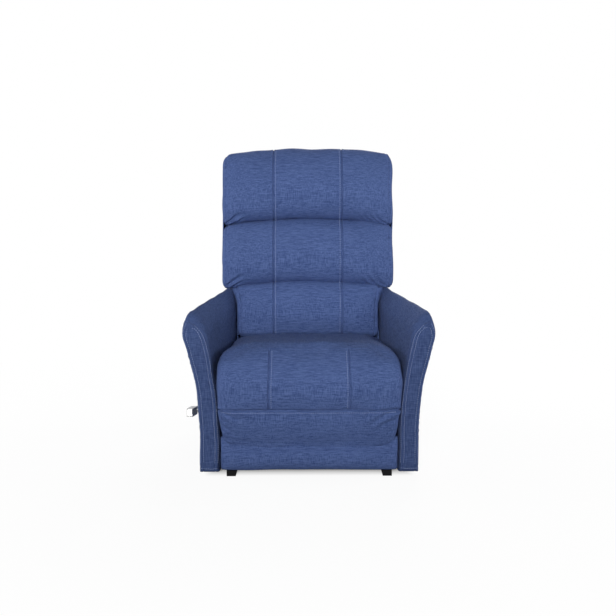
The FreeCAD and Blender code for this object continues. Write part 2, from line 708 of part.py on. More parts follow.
def arm_frame():
    """Plywood end boards, two long rails and a post inside one arm."""
    front = arm_end_board(0, ARM_WALL, ARM_TOP - 94)
    rear_y = ARM_LENGTH - ARM_WALL - END_BOARD
    rear = arm_end_board(ARM_LENGTH, rear_y, ARM_TOP - 134)
    start = ARM_WALL + END_BOARD
    outer = ARM_RAIL_IN + ARM_RAIL
    lower = box(ARM_RAIL_IN, outer, start, rear_y, *LOW_RAIL_ZS)
    upper = box(ARM_RAIL_IN, outer, start, rear_y, *HIGH_RAIL_ZS)
    post = box(ARM_RAIL_IN, outer, *POST_YS, LOW_RAIL_ZS[1], HIGH_RAIL_ZS[0])
    return [front, rear, lower, upper, post]


def arm_brackets():
    """Steel brackets that carry both arms on the seat boards."""
    blocks = []
    for y in ARM_BRACKET_YS:
        block = bracket_block(y, 0)
        blocks += pair(block.cut(bracket_block(y, -ARM_BRACKET_WALL)))
    return blocks


def arm_outer_face(y, z):
    """Distance of the arm's outer surface from the middle of the chair, low on its side."""
    share = y / ARM_TAPER_LENGTH
    level = (z - ARM_BOTTOM) / (ARM_TOP - ARM_BOTTOM)
    front = mix(FRONT_OUTER[0], FRONT_OUTER[1], level / ARM_LEVELS[1])
    rear = mix(REAR_OUTER[0], REAR_OUTER[1], level / ARM_LEVELS[1])
    return SEAT_GAP / 2 + mix(front, rear, share)


def escutcheon_face():
    return arm_outer_face(LEVER_AXIS[0], LEVER_AXIS[1]) + 2


def lever_escutcheon():
    """Flanged bush in the outer side of the right arm, round the lever shaft."""
    face = escutcheon_face()
    flange = pin(LEVER_AXIS, ESCUTCHEON_R, face - FLANGE, face)
    sleeve = pin(LEVER_AXIS, SLEEVE_R, face - FLANGE - SLEEVE_LENGTH, face - FLANGE)
    bush = flange.fuse(sleeve).removeSplitter()
    bush = bush.cut(pin(LEVER_AXIS, SHAFT_R + RUN_GAP, sleeve.BoundBox.XMin, face))
    return [mirrored(bush)]


def switch_block(depth_from, depth_to, border):
    """Block of the hand switch between two depths behind its face."""
    half_y = SWITCH_HALF_Y - border
    half_z = SWITCH_HALF_Z - border
    return box(SWITCH_FACE - depth_to, SWITCH_FACE - depth_from, SWITCH_Y - half_y, SWITCH_Y + half_y,
               SWITCH_Z - half_z, SWITCH_Z + half_z)


def switch_space():
    """Opening in the left arm for the hand switch."""
    return switch_block(-20, BEZEL, 0).fuse(switch_block(BEZEL, SWITCH_DEPTH, BEZEL))


def button_block(index, room):
    """One of the two buttons, or its opening when it is given room."""
    middle = SWITCH_Y + (index - 0.5) * (BUTTON_WIDTH + 4)
    half = BUTTON_WIDTH / 2 + room
    tall = BUTTON_HEIGHT / 2 + room
    block = box(SWITCH_FACE - 14 - 10 * room, SWITCH_FACE + BUTTON_PROUD, middle - half, middle + half,
                SWITCH_Z - tall, SWITCH_Z + tall)
    return block.makeFillet(4, [e for e in block.Edges if abs(e.tangentAt(0).x) > 0.9])


def switch_plate():
    """Switch body let into the arm, with a bevelled bezel and two button openings."""
    bezel = switch_block(0, BEZEL, 0)
    bezel = bezel.makeFillet(6, [e for e in bezel.Edges if abs(e.tangentAt(0).x) > 0.9])
    plate = bezel.fuse(switch_block(BEZEL, SWITCH_DEPTH, BEZEL)).removeSplitter()
    for index in (0, 1):
        plate = plate.cut(button_block(index, SOFT_GAP))
    return [plate]


def rear_lower_panel():
    """Upholstered board across the rear, between the two arms."""
    level = (REAR_PANEL_TOP - ARM_BOTTOM) / (ARM_TOP - ARM_BOTTOM)
    share = (level - ARM_LEVELS[1]) / (ARM_LEVELS[2] - ARM_LEVELS[1])
    half = SEAT_GAP / 2 + mix(REAR_INNER[1], REAR_INNER[2], share) - SOFT_GAP
    return [box(-half, half, ARM_LENGTH - 16, ARM_LENGTH - 2, ARM_BOTTOM + 10, REAR_PANEL_TOP)]


def rear_skirt():
    """Loose cloth from the lower rear panel up to the back, which folds when it reclines."""
    bottom = tilted(box(-1, 1, BACK_DEPTH - 1, BACK_DEPTH, LUMBAR_BOTTOM, LUMBAR_BOTTOM + 1))
    top = bottom.BoundBox.ZMin - 1.5
    half = LOW_HALF
    return [box(-half, half, ARM_LENGTH - 14, ARM_LENGTH - 8,
                REAR_PANEL_TOP + SOFT_GAP, top)]


# Legrest

def legrest_board():
    """Plywood board behind the pad and the front panel."""
    half = SEAT_GAP / 2 - 9
    rear = LEG_BOARD_FRONT + LEG_BOARD
    return [box(-half, half, LEG_BOARD_FRONT, rear, PANEL_BOTTOM + 4, PAD_TOP - 3)]


def legrest_pad():
    """Foam of the legrest, which widens in front of the arms towards its top."""
    half = SEAT_GAP / 2 - SIDE_GAP
    top_half = half + 16
    outline = [(-half, PAD_BOTTOM + SOFT_GAP), (half, PAD_BOTTOM + SOFT_GAP), (half, 240),
               (top_half, PAD_TOP), (-top_half, PAD_TOP), (-half, 240)]
    return [front_prism(outline, [20, 20, 0, 0, 0, 0], PAD_FRONT, LEG_BOARD_FRONT)]


def legrest_bottom_panel():
    """Covered strip of the legrest that closes the front down to the floor."""
    half = SEAT_GAP / 2 - SIDE_GAP
    return [box(-half, half, -2, LEG_BOARD_FRONT, PANEL_BOTTOM, PAD_BOTTOM)]


def legrest_bracket():
    """Hinge bracket on the left: a shaped plate with a flange on the board."""
    y, z = LEG_HINGE
    arm = pivot_sum(LEG_HINGE, CRANK_REACH)
    rear = LEG_BOARD_FRONT + LEG_BOARD
    outline = [(y - 13, z + 13), (y + 13, z + 13), (y + 16, z - 28), (arm[0] + 12, arm[1] + 8),
               (arm[0] + 12, arm[1] - 10), (y + 12, 200), (y + 6, 130), (rear, 130),
               (rear, PAD_TOP - 1), (y - 13, z - 12)]
    plate = side_prism(outline, [12, 12, 6, 9, 9, 20, 3, 0, 0, 6], LEG_IN, LEG_OUT)
    flange = box(LEG_IN - 20, LEG_OUT, rear, rear + 3, 130, PAD_TOP - 14)
    plate = plate.fuse(flange).removeSplitter()
    plate = plate.cut(pin(LEG_HINGE, HINGE_PIN_R + RUN_GAP, LEG_IN, LEG_OUT))
    return plate


def legrest_right_bracket():
    """Right bracket with the pin that the lever's rod pushes on."""
    arm = pivot_sum(LEG_HINGE, CRANK_REACH)
    stud = pin(arm, ROD_PIN_R, ROD_IN - 3, LEG_OUT)
    washer = pin(arm, 8, ROD_OUT + 0.5, LEG_IN)
    return mirrored(legrest_bracket().fuse([stud, washer]).removeSplitter())


# Hand lever and its rod, on the right

def crank_end():
    return pivot_sum(LEVER_AXIS, CRANK_REACH)


def lever_shaft():
    """Steel shaft from the crank out through the arm to the hand lever."""
    return [mirrored(pin(LEVER_AXIS, SHAFT_R, LEG_IN - 1, LEVER_IN + LEVER_WIDTH - 4))]


def lever_crank():
    """Crank welded on the shaft, with the stud that moves the rod."""
    crank = link_bar(LEVER_AXIS, crank_end(), 10, LEG_IN, LEG_OUT)
    hub = pin(LEVER_AXIS, 14, LEG_IN, LEG_OUT)
    crank = crank.fuse(hub).removeSplitter().cut(pin(LEVER_AXIS, SHAFT_R, LEG_IN, LEG_OUT))
    stud = pin(crank_end(), ROD_PIN_R, ROD_IN - 3, LEG_IN)
    washer = pin(crank_end(), 8, ROD_OUT + 0.5, LEG_IN)
    return [mirrored(crank.fuse([stud, washer]).removeSplitter())]


def drive_rod():
    """Flat rod from the crank to the legrest bracket."""
    arm = pivot_sum(LEG_HINGE, CRANK_REACH)
    rod = link_bar(crank_end(), arm, 9, ROD_IN, ROD_OUT)
    rod = rod.cut(pin(crank_end(), ROD_PIN_R + RUN_GAP, ROD_IN, ROD_OUT))
    return [mirrored(rod.cut(pin(arm, ROD_PIN_R + 0.4, ROD_IN, ROD_OUT)))]


def lever_placed(shape):
    """Turns a piece of the lever, drawn forwards from its axis, up by its rise."""
    placed = shape.copy()
    placed.rotate(Vector(0, 0, 0), Vector(1, 0, 0), -LEVER_RISE)
    placed.translate(Vector(0, LEVER_AXIS[0], LEVER_AXIS[1]))
    return mirrored(placed)


def lever_bar():
    """Rounded flat bar of brushed metal with a boss on the shaft."""
    half = LEVER_HEIGHT / 2
    end = -LEVER_LENGTH + CAP_LENGTH
    bar = side_prism([(end, -half), (end, half), (half, half), (half, -half)],
                     [0, 0, half - 1, half - 1], LEVER_IN, LEVER_IN + LEVER_WIDTH)
    bar = bar.cut(pin((0, 0), SHAFT_R, LEVER_IN, LEVER_IN + LEVER_WIDTH - 4))
    return [lever_placed(bar)]


def lever_end_cap():
    """Bright cap that closes the free end of the lever."""
    half = LEVER_HEIGHT / 2
    end = -LEVER_LENGTH + CAP_LENGTH
    cap = box(LEVER_IN, LEVER_IN + LEVER_WIDTH, -LEVER_LENGTH, end, -half, half)
    front = [e for e in cap.Edges if e.BoundBox.YMax < -LEVER_LENGTH + 0.1]
    return [lever_placed(cap.makeFillet(4, front))]


# Back

def back_frame():
    """Wooden back frame: two stiles, three cross boards and a board in each wing."""
    front = BACK_PANEL_FRONT + 2
    rear = front + STILE
    inner = BACK_BRACKET_IN - STILE
    stiles = pair(box(inner, BACK_BRACKET_IN, front, rear, LUMBAR_BOTTOM + 6, BACK_TOP - 65))
    top = box(-WING_HALF + 40, WING_HALF - 40, front, rear, BACK_TOP - 65, BACK_TOP - 25)
    middle = box(-inner, inner, front, rear, WING_BOTTOM + 20, WING_BOTTOM + 60)
    bottom = box(-inner, inner, front, rear, LUMBAR_BOTTOM + 6, LUMBAR_BOTTOM + 46)
    wings = pair(box(BACK_BRACKET_IN, WING_HALF - 40, front, rear, HEAD_BOTTOM - 60, HEAD_BOTTOM))
    return [tilted(shape) for shape in stiles + [top, middle, bottom] + wings]


def back_webbing():
    """Elastic straps across the front of the back frame."""
    half = BACK_BRACKET_IN - 4
    front = BACK_PANEL_FRONT
    straps = []
    first = LUMBAR_BOTTOM + 60
    for i in range(7):
        s = first + i * 84
        straps.append(tilted(box(-half, half, front + 0.5, front + 2, s, s + 50)))
    return straps


def back_bracket():
    """Hinge bracket from the pivot behind the lumbar pillow and up the stile."""
    front = BACK_PANEL_FRONT + 2
    reach = 12.5
    outline = [(-reach, -reach), (front + STILE, -reach), (front + STILE, 190), (front, 190),
               (front, LUMBAR_BOTTOM - 3), (-reach, LUMBAR_BOTTOM - 3)]
    plate = side_prism(outline, [11, 20, 6, 6, 4, 11], BACK_BRACKET_IN, BACK_BRACKET_OUT)
    plate = plate.cut(pin((0, 0), HINGE_PIN_R + RUN_GAP, BACK_BRACKET_IN, BACK_BRACKET_OUT))
    return tilted(plate)


def pillow(half, s_from, s_to, front, corner):
    """One stuffed section of the back, as a plain block with rounded front edges."""
    rear = BACK_PANEL_FRONT - SOFT_GAP
    outline = [(front, s_from), (front, s_to), (rear, s_to), (rear, s_from)]
    return [tilted(side_prism(outline, [corner, corner, 0, 0], -half, half))]


def lumbar_pillow():
    """Lower pillow, which fits between the arms."""
    return pillow(LOW_HALF, LUMBAR_BOTTOM, WING_BOTTOM - SOFT_GAP, BACK_SEAT_FRONT, 14)


def middle_pillow():
    """Middle pillow, with wings above the arms."""
    return pillow(WING_HALF, WING_BOTTOM, HEAD_BOTTOM - SOFT_GAP, BACK_SEAT_FRONT - 7, 24)


def head_pillow():
    """Upper pillow, fullest of the three."""
    return pillow(WING_HALF + 4, HEAD_BOTTOM, BACK_TOP, BACK_SEAT_FRONT - 12, 34)


def back_plan(half, depth, s_from, s_to):
    """Block of the back, bowed towards the rear and open at its front face."""
    edge = BACK_EDGE_SHARE * depth
    front = BACK_PANEL_FRONT
    corners = [Vector(-half, front, s_from), Vector(-half, edge, s_from),
               Vector(half, edge, s_from), Vector(half, front, s_from)]
    edges = [Part.LineSegment(corners[0], corners[1]).toShape(),
             Part.Arc(corners[1], Vector(0, depth, s_from), corners[2]).toShape(),
             Part.LineSegment(corners[2], corners[3]).toShape(),
             Part.LineSegment(corners[3], corners[0]).toShape()]
    return Part.Face(Part.Wire(edges)).extrude(Vector(0, 0, s_to - s_from))


def waisted(block, half, bottom, wing_bottom):
    """Narrows a block of the back below its wings, where it passes between the arms."""
    for side in (-1, 1):
        block = block.cut(box(side * half, side * 2 * WING_HALF, 0, 2 * BACK_DEPTH, bottom, wing_bottom))
    return block


def back_cover():
    """Outer shell of the back, open at the front, where the pillows close it, and underneath."""
    top = BACK_TOP - COVER_DROP
    shell = back_plan(WING_HALF, BACK_DEPTH, LUMBAR_BOTTOM, top)
    shell = waisted(shell, LOW_HALF, LUMBAR_BOTTOM, WING_BOTTOM)
    room = back_plan(WING_HALF - BACK_WALL, BACK_DEPTH - BACK_WALL, LUMBAR_BOTTOM, top - BACK_WALL)
    room = waisted(room, LOW_HALF - BACK_WALL, LUMBAR_BOTTOM, WING_BOTTOM + BACK_WALL)
    return [tilted(shell.cut(room))]


def build():
    """Every node of the chair, by name."""
    rail = base_side_rail()
    front = front_link()
    rear = rear_link()
    frame = arm_frame()
    bracket = back_bracket()
    return {
        "base_rail_left": [rail],
        "base_rail_right": [mirrored(rail)],
        "base_cross_tubes": base_cross_tubes(),
        "base_feet": base_feet(),
        "base_pivot_brackets": base_pivot_brackets(),
        "base_pivot_pins": base_pivot_pins(),
        "actuator_base_bracket": actuator_base_bracket(),
        "power_inlet": power_inlet(),
        "front_torque_tube": [torque_tube(FRONT_BASE)],
        "front_link_left": [front],
        "front_link_right": [mirrored(front)],
        "rear_torque_tube": [torque_tube(REAR_BASE)],
        "rear_link_left": [rear],
        "rear_link_right": [mirrored(rear)],
        "rear_link_pins": rear_link_pins(),
        "drive_arm": drive_arm(),
        "actuator_gear_case": actuator_gear_case(),
        "actuator_motor": actuator_motor(),
        "actuator_outer_tube": actuator_outer_tube(),
        "actuator_rod": actuator_rod(),
        "rod_clevis": rod_clevis(),
        "side_plate_left": [side_plate(False)],
        "side_plate_right": [mirrored(side_plate(True))],
        "seat_side_boards": seat_side_boards(),
        "seat_cross_rails": seat_cross_rails(),
        "seat_springs": seat_springs(),
        "seat_cushion": seat_cushion(),
        "knee_roll": knee_roll(),
        "hinge_pins": hinge_pins(),
        "arm_cover_left": [arm_cover(False)],
        "arm_cover_right": [mirrored(arm_cover(True))],
        "arm_frame_left": frame,
        "arm_frame_right": [mirrored(shape) for shape in frame],
        "arm_brackets": arm_brackets(),
        "lever_escutcheon": lever_escutcheon(),
        "switch_plate": switch_plate(),
        "button_up": [button_block(0, 0)],
        "button_down": [button_block(1, 0)],
        "rear_lower_panel": rear_lower_panel(),
        "rear_skirt": rear_skirt(),
        "legrest_board": legrest_board(),
        "legrest_pad": legrest_pad(),
        "legrest_bottom_panel": legrest_bottom_panel(),
        "legrest_bracket_left": [legrest_bracket()],
        "legrest_bracket_right": [legrest_right_bracket()],
        "lever_shaft": lever_shaft(),
        "lever_crank": lever_crank(),
        "lever_bar": lever_bar(),
        "lever_end_cap": lever_end_cap(),
        "drive_rod": drive_rod(),
        "back_frame": back_frame(),
        "back_webbing": back_webbing(),
        "back_bracket_left": [bracket],
        "back_bracket_right": [mirrored(bracket)],
        "lumbar_pillow": lumbar_pillow(),
        "middle_pillow": middle_pillow(),
        "head_pillow": head_pillow(),
        "back_cover": back_cover(),
    }


def main():
    os.makedirs("parts", exist_ok=True)
    nodes = build()
    overall = FreeCAD.BoundBox()
    for solids in nodes.values():
        for solid in solids:
            overall.add(solid.optimalBoundingBox(False, False))
    shift = -(overall.YMin + overall.YMax) / 2
    for name, solids in nodes.items():
        placed = []
        for solid in solids:
            moved = solid.copy()
            moved.translate(Vector(0, shift, 0))
            placed.append(moved)
        shape = placed[0] if len(placed) == 1 else Part.makeCompound(placed)
        shape.exportStep("parts/" + name + ".step")
    print("nodes", len(nodes), "moved in Y by", round(shift, 3), "overall", overall)


main()
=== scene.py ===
import json
import math
import bmesh
import bpy
import numpy as np
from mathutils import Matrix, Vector


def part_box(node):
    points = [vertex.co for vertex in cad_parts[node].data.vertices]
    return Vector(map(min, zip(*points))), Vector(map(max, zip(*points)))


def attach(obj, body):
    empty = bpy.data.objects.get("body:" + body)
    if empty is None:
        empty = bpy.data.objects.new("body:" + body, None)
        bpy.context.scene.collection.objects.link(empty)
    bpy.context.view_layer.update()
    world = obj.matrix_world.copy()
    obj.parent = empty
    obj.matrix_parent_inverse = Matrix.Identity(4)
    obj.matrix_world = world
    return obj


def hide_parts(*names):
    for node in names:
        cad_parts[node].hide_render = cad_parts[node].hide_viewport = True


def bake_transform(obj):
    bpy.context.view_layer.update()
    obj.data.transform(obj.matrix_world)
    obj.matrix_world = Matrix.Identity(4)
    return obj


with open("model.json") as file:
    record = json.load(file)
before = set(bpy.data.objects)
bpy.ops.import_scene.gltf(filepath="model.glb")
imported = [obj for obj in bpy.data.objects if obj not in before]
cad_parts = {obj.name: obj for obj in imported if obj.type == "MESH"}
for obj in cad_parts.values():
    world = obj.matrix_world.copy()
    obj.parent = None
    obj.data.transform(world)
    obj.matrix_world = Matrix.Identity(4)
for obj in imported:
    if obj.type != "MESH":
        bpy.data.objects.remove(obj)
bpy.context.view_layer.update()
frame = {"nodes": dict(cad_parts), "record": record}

scene = bpy.context.scene

# Studio: a pale floor that runs out of view, a soft lamp behind the camera and a little to its
# left, a weaker one to its right, one at each side of the chair and one behind it, and a camera
# in front of the chair at chest height, tipped down.
ARM_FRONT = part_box("arm_cover_left")[0].y
PHOTO_WIDTH = 616
SENSOR_WIDTH = 36
PIXELS_PER_RADIAN = 930.0
CAMERA_PLACE = (-0.0315, ARM_FRONT - 3.035, 1.088)
CAMERA_TIP = 9.47
CAMERA_TURN = 0.51
FLOOR_HALF = 14.0
SEEN_WHITE = 0.95
BOUNCED_WHITE = 0.20
NEAR_GLOW = 0.93
GLOW_FROM, GLOW_TO = 0.7, 2.0
# Painted shadow on the floor below the chair: the half size of its box, the share of glow left in it, and
# where it starts to fade.
BASE_HALF = (0.36, 0.41)
PAINTED_SHADOW_GLOW = 0.15
PAINTED_SHADOW_EDGE = 0.84
SOFT_LIGHT = 0.07

camera = bpy.data.objects.new("camera", bpy.data.cameras.new("camera"))
scene.collection.objects.link(camera)
camera.data.sensor_width = SENSOR_WIDTH
camera.data.lens = SENSOR_WIDTH * PIXELS_PER_RADIAN / PHOTO_WIDTH
camera.location = CAMERA_PLACE
camera.rotation_euler = (math.radians(90 - CAMERA_TIP), 0, math.radians(-CAMERA_TURN))
scene.camera = camera
scene.view_settings.view_transform = "Standard"

floor_corners = [(x * FLOOR_HALF, y * FLOOR_HALF, 0) for x, y in ((-1, -1), (1, -1), (1, 1), (-1, 1))]
floor_mesh = bpy.data.meshes.new("studio_floor")
floor_mesh.from_pydata(floor_corners, [], [(0, 1, 2, 3)])
studio_floor = bpy.data.objects.new("studio_floor", floor_mesh)
scene.collection.objects.link(studio_floor)


def maths(tree, operation, *values):
    """Output of a Math node whose inputs are sockets or numbers."""
    node = tree.nodes.new("ShaderNodeMath")
    node.operation = operation
    for socket, value in zip(node.inputs, values):
        if isinstance(value, (int, float)):
            socket.default_value = value
        else:
            tree.links.new(value, socket)
    return node.outputs[0]


def times(tree, first, second):
    """Product of two sockets or numbers."""
    return maths(tree, "MULTIPLY", first, second)


def vector_maths(tree, operation, first, second=None):
    """Vector Math node of a socket and, where it needs one, a fixed second vector."""
    node = tree.nodes.new("ShaderNodeVectorMath")
    node.operation = operation
    tree.links.new(first, node.inputs[0])
    if second is not None:
        node.inputs[1].default_value = second
    return node


def in_range(tree, value, low, high, at_low, at_high):
    """Output that goes from at_low to at_high as the value goes from low to high."""
    node = tree.nodes.new("ShaderNodeMapRange")
    tree.links.new(value, node.inputs["Value"])
    limits = {"From Min": low, "From Max": high, "To Min": at_low, "To Max": at_high}
    for socket, number in limits.items():
        node.inputs[socket].default_value = number
    return node.outputs[0]


def seen_directly(tree):
    """1 for the camera's own rays and for what polished or clear parts show, 0 for soft light."""
    rays = tree.nodes.new("ShaderNodeLightPath").outputs
    sharp = maths(tree, "MAXIMUM", rays["Is Camera Ray"], rays["Is Glossy Ray"])
    return maths(tree, "MAXIMUM", sharp, rays["Is Transmission Ray"])


floor_paint = bpy.data.materials.new("studio_white")
floor_paint.use_nodes = True
tree = floor_paint.node_tree
tree.nodes.clear()
seen = seen_directly(tree)
place = tree.nodes.new("ShaderNodeTexCoord").outputs["Object"]
diffuse = tree.nodes.new("ShaderNodeBsdfDiffuse")
tree.links.new(in_range(tree, seen, 0, 1, BOUNCED_WHITE, SEEN_WHITE), diffuse.inputs["Color"])
distance = vector_maths(tree, "LENGTH", place).outputs["Value"]
glow = in_range(tree, distance, GLOW_FROM, GLOW_TO, NEAR_GLOW, 1.0)

# A painted shadow: below the chair, where no light comes, the floor's glow is dimmed over a box the size of
# its base.
scaled = vector_maths(tree, "MULTIPLY", place, (1 / BASE_HALF[0], 1 / BASE_HALF[1], 0))
sides = tree.nodes.new("ShaderNodeSeparateXYZ")
tree.links.new(vector_maths(tree, "ABSOLUTE", scaled.outputs[0]).outputs[0], sides.inputs[0])
outwards = maths(tree, "MAXIMUM", sides.outputs["X"], sides.outputs["Y"])
glow = times(tree, glow, in_range(tree, outwards, PAINTED_SHADOW_EDGE, 1.0, PAINTED_SHADOW_GLOW, 1.0))
mixed = tree.nodes.new("ShaderNodeMixShader")
tree.links.new(times(tree, seen, glow), mixed.inputs["Fac"])
tree.links.new(diffuse.outputs[0], mixed.inputs[1])
tree.links.new(tree.nodes.new("ShaderNodeEmission").outputs[0], mixed.inputs[2])
tree.links.new(mixed.outputs[0], tree.nodes.new("ShaderNodeOutputMaterial").inputs["Surface"])
floor_mesh.materials.append(floor_paint)

world = bpy.data.worlds.new("studio")
scene.world = world
world.use_nodes = True
tree = world.node_tree
tree.nodes.clear()
sky = tree.nodes.new("ShaderNodeBackground")
sky.inputs["Color"].default_value = (1, 1, 1, 1)
tree.links.new(in_range(tree, seen_directly(tree), 0, 1, SOFT_LIGHT, 1.0), sky.inputs["Strength"])
tree.links.new(sky.outputs[0], tree.nodes.new("ShaderNodeOutputWorld").inputs["Surface"])


def soft_lamp(name, place, aim, size, watts, spread=180):
    """A square soft lamp that points at a place; a grid on it narrows its spread."""
    lamp = bpy.data.lights.new(name, "AREA")
    lamp.spread = math.radians(spread)
    lamp.shape = "SQUARE"
    lamp.size = size
    lamp.energy = watts
    holder = bpy.data.objects.new(name, lamp)
    scene.collection.objects.link(holder)
    holder.location = place
    holder.rotation_euler = (Vector(aim) - Vector(place)).to_track_quat("-Z", "Y").to_euler()


soft_lamp("key_lamp", (-0.8, -5.8, 2.2), (0, -0.1, 1.0), 1.3, 24, 48)
soft_lamp("fill_lamp", (2.6, -5.2, 2.0), (0, 0, 1.0), 2.0, 3.6, 48)
for side, label in ((-1, "right"), (1, "left")):
    soft_lamp("side_lamp_" + label, (4.2 * side, 0.5, 1.5), (0, 0, 0.5), 1.8, 90)
soft_lamp("rear_lamp", (0.8, 3.4, 2.3), (0, 0, 0.6), 1.8, 110)

# Cloth for the whole chair: blue linen-like weave with uneven threads. The slubs run along the
# three axes and show where the surface lies along them; the over-and-under of the threads is bump.
THREAD_PITCH = 0.0019
FINE_THREADS = dict(scale=640, length=0.07)
LONG_THREADS = dict(scale=330, length=0.05)
FINE_TONE, LONG_TONE, PATCH_TONE, WEAVE_TONE = 2.0, 1.1, 0.22, 0.09


def node_group(name, inputs, outputs):
    """An empty node group with named sockets, inputs given as (name, kind, start value)."""
    group = bpy.data.node_groups.new(name, "ShaderNodeTree")
    for label, kind, value in inputs:
        made = group.interface.new_socket(label, in_out="INPUT", socket_type="NodeSocket" + kind)
        made.default_value = value
    for label, kind in outputs:
        group.interface.new_socket(label, in_out="OUTPUT", socket_type="NodeSocket" + kind)
    return group, group.nodes.new("NodeGroupInput"), group.nodes.new("NodeGroupOutput")


def summed(tree, sockets):
    """Sum of several sockets."""
    total = sockets[0]
    for socket in sockets[1:]:
        total = maths(tree, "ADD", total, socket)
    return total


def spotted(tree, coordinate, scale, detail, stretch=(1, 1, 1)):
    """Noise with its cells stretched along the axes, from 0 to 1."""
    noise = tree.nodes.new("ShaderNodeTexNoise")
    noise.inputs["Scale"].default_value = scale
    noise.inputs["Detail"].default_value = detail
    stretched = vector_maths(tree, "MULTIPLY", coordinate, stretch)
    tree.links.new(stretched.outputs[0], noise.inputs["Vector"])
    return noise.outputs["Fac"]


def two_tones(tree, factor, first, second):
    """Colour between two colours; each is a socket or a fixed colour."""
    node = tree.nodes.new("ShaderNodeMix")
    node.data_type = "RGBA"
    tree.links.new(factor, node.inputs["Factor"])
    for label, value in (("A", first), ("B", second)):
        if isinstance(value, tuple):
            node.inputs[label].default_value = (*value, 1)
        else:
            tree.links.new(value, node.inputs[label])
    return node.outputs["Result"]


weave, weave_in, weave_out = node_group(
    "uneven_weave",
    [("Light", "Color", (0.1, 0.15, 0.3, 1)), ("Dark", "Color", (0.04, 0.06, 0.14, 1)),
     ("Slub", "Float", 0.5)],
    [("Color", "Color"), ("Height", "Float"), ("Roughness", "Float")])
surface = weave.nodes.new("ShaderNodeTexCoord")
where = surface.outputs["Object"]
facing = weave.nodes.new("ShaderNodeSeparateXYZ")
weave.links.new(surface.outputs["Normal"], facing.inputs[0])
along = weave.nodes.new("ShaderNodeSeparateXYZ")
weave.links.new(where, along.inputs[0])
faces_axis = [maths(weave, "ABSOLUTE", facing.outputs[axis]) for axis in range(3)]


def threads_along(scale, length):
    """Threads of one thickness, along each axis that the surface lies along."""
    drawn = []
    for axis in range(3):
        stretch = [1.0, 1.0, 1.0]
        stretch[axis] = length
        noise = maths(weave, "SUBTRACT", spotted(weave, where, scale, 0.5, stretch), 0.5)
        drawn.append(times(weave, noise, maths(weave, "SUBTRACT", 1.0, faces_axis[axis])))
    return summed(weave, drawn)


fine_threads = threads_along(**FINE_THREADS)
long_threads = threads_along(**LONG_THREADS)
turns = [times(weave, along.outputs[axis], 2 * math.pi / THREAD_PITCH) for axis in range(3)]
waves = [maths(weave, "SINE", turn) for turn in turns]
crossings = []
for axis in range(3):
    product = times(weave, waves[(axis + 1) % 3], waves[(axis + 2) % 3])
    crossings.append(times(weave, product, faces_axis[axis]))
over_under = summed(weave, crossings)
patches = maths(weave, "SUBTRACT", spotted(weave, where, 7, 3.0), 0.5)
threads = summed(weave, [times(weave, fine_threads, FINE_TONE),
                         times(weave, long_threads, LONG_TONE)])
tone = summed(weave, [times(weave, threads, weave_in.outputs["Slub"]),
                      times(weave, patches, PATCH_TONE),
                      times(weave, over_under, WEAVE_TONE)])
tone = maths(weave, "ADD", tone, 0.5)
weave.links.new(two_tones(weave, tone, weave_in.outputs["Dark"], weave_in.outputs["Light"]),
                weave_out.inputs["Color"])
weave.links.new(maths(weave, "ADD", times(weave, over_under, 0.5), fine_threads),
                weave_out.inputs["Height"])
weave.links.new(maths(weave, "SUBTRACT", 0.90, times(weave, fine_threads, 0.3)),
                weave_out.inputs["Roughness"])


def new_material(name):
    """A material, its node tree and its shader."""
    made = bpy.data.materials.new(name)
    made.use_nodes = True
    return made, made.node_tree, made.node_tree.nodes["Principled BSDF"]


def bumped(tree, shader, height, distance, strength=0.5):
    """Small relief of a shader from a height."""
    bump = tree.nodes.new("ShaderNodeBump")
    bump.inputs["Strength"].default_value = strength
    bump.inputs["Distance"].default_value = distance
    tree.links.new(height, bump.inputs["Height"])
    tree.links.new(bump.outputs["Normal"], shader.inputs["Normal"])


def cloth_material(name, light, dark, slub, sheen=0.02):
    """Woven cloth in two tones of one colour."""
    made, tree, shader = new_material(name)
    threads = tree.nodes.new("ShaderNodeGroup")
    threads.node_tree = weave
    threads.inputs["Light"].default_value = (*light, 1)
    threads.inputs["Dark"].default_value = (*dark, 1)
    threads.inputs["Slub"].default_value = slub
    tree.links.new(threads.outputs["Color"], shader.inputs["Base Color"])
    tree.links.new(threads.outputs["Roughness"], shader.inputs["Roughness"])
    bumped(tree, shader, threads.outputs["Height"], 0.0006)
    shader.inputs["Specular IOR Level"].default_value = 0.1
    shader.inputs["Sheen Weight"].default_value = sheen
    shader.inputs["Sheen Roughness"].default_value = 0.4
    shader.inputs["Sheen Tint"].default_value = (0.75, 0.82, 1.0, 1)
    return made


blue_cloth = cloth_material("blue_woven_cloth", (0.098, 0.150, 0.345), (0.040, 0.068, 0.186), 0.7)
# The arms get a darker copy of the same cloth: a painted shade on their fronts and sides.
arm_cloth_painted_shade = cloth_material("blue_woven_cloth_painted_shade_arms", (0.070, 0.107, 0.246), (0.029, 0.049, 0.132), 0.7)
# The thread is far lighter than the cloth: its light tone is a painted highlight along the stitched ridges.
thread_painted_highlight = cloth_material("blue_sewing_thread_painted_highlight", (0.30, 0.37, 0.58), (0.20, 0.26, 0.46), 0.3)

# Seat and legrest: one stuffed pad that runs from the back of the seat over the front edge and
# down the legrest. It is three cloth panels wide, joined by two topstitched seams, with one more
# seam across the legrest, and its filling bends over the legrest hinge.
MM = 0.001
SEAM_X = 137.0
TOPSTITCH = 9.0
PAD_HALF = 312.0
SIDE_SEAM = 14.0


def run_along(points):
    """Distance of each point from the first one, along the line."""
    return np.concatenate([[0], np.cumsum(np.linalg.norm(np.diff(points, axis=0), axis=1))])


def at_run(distance, run, values):
    """Values at a distance along a line; run is the distance of each of its points."""
    return np.stack([np.interp(distance, run, column) for column in np.transpose(values)], axis=-1)


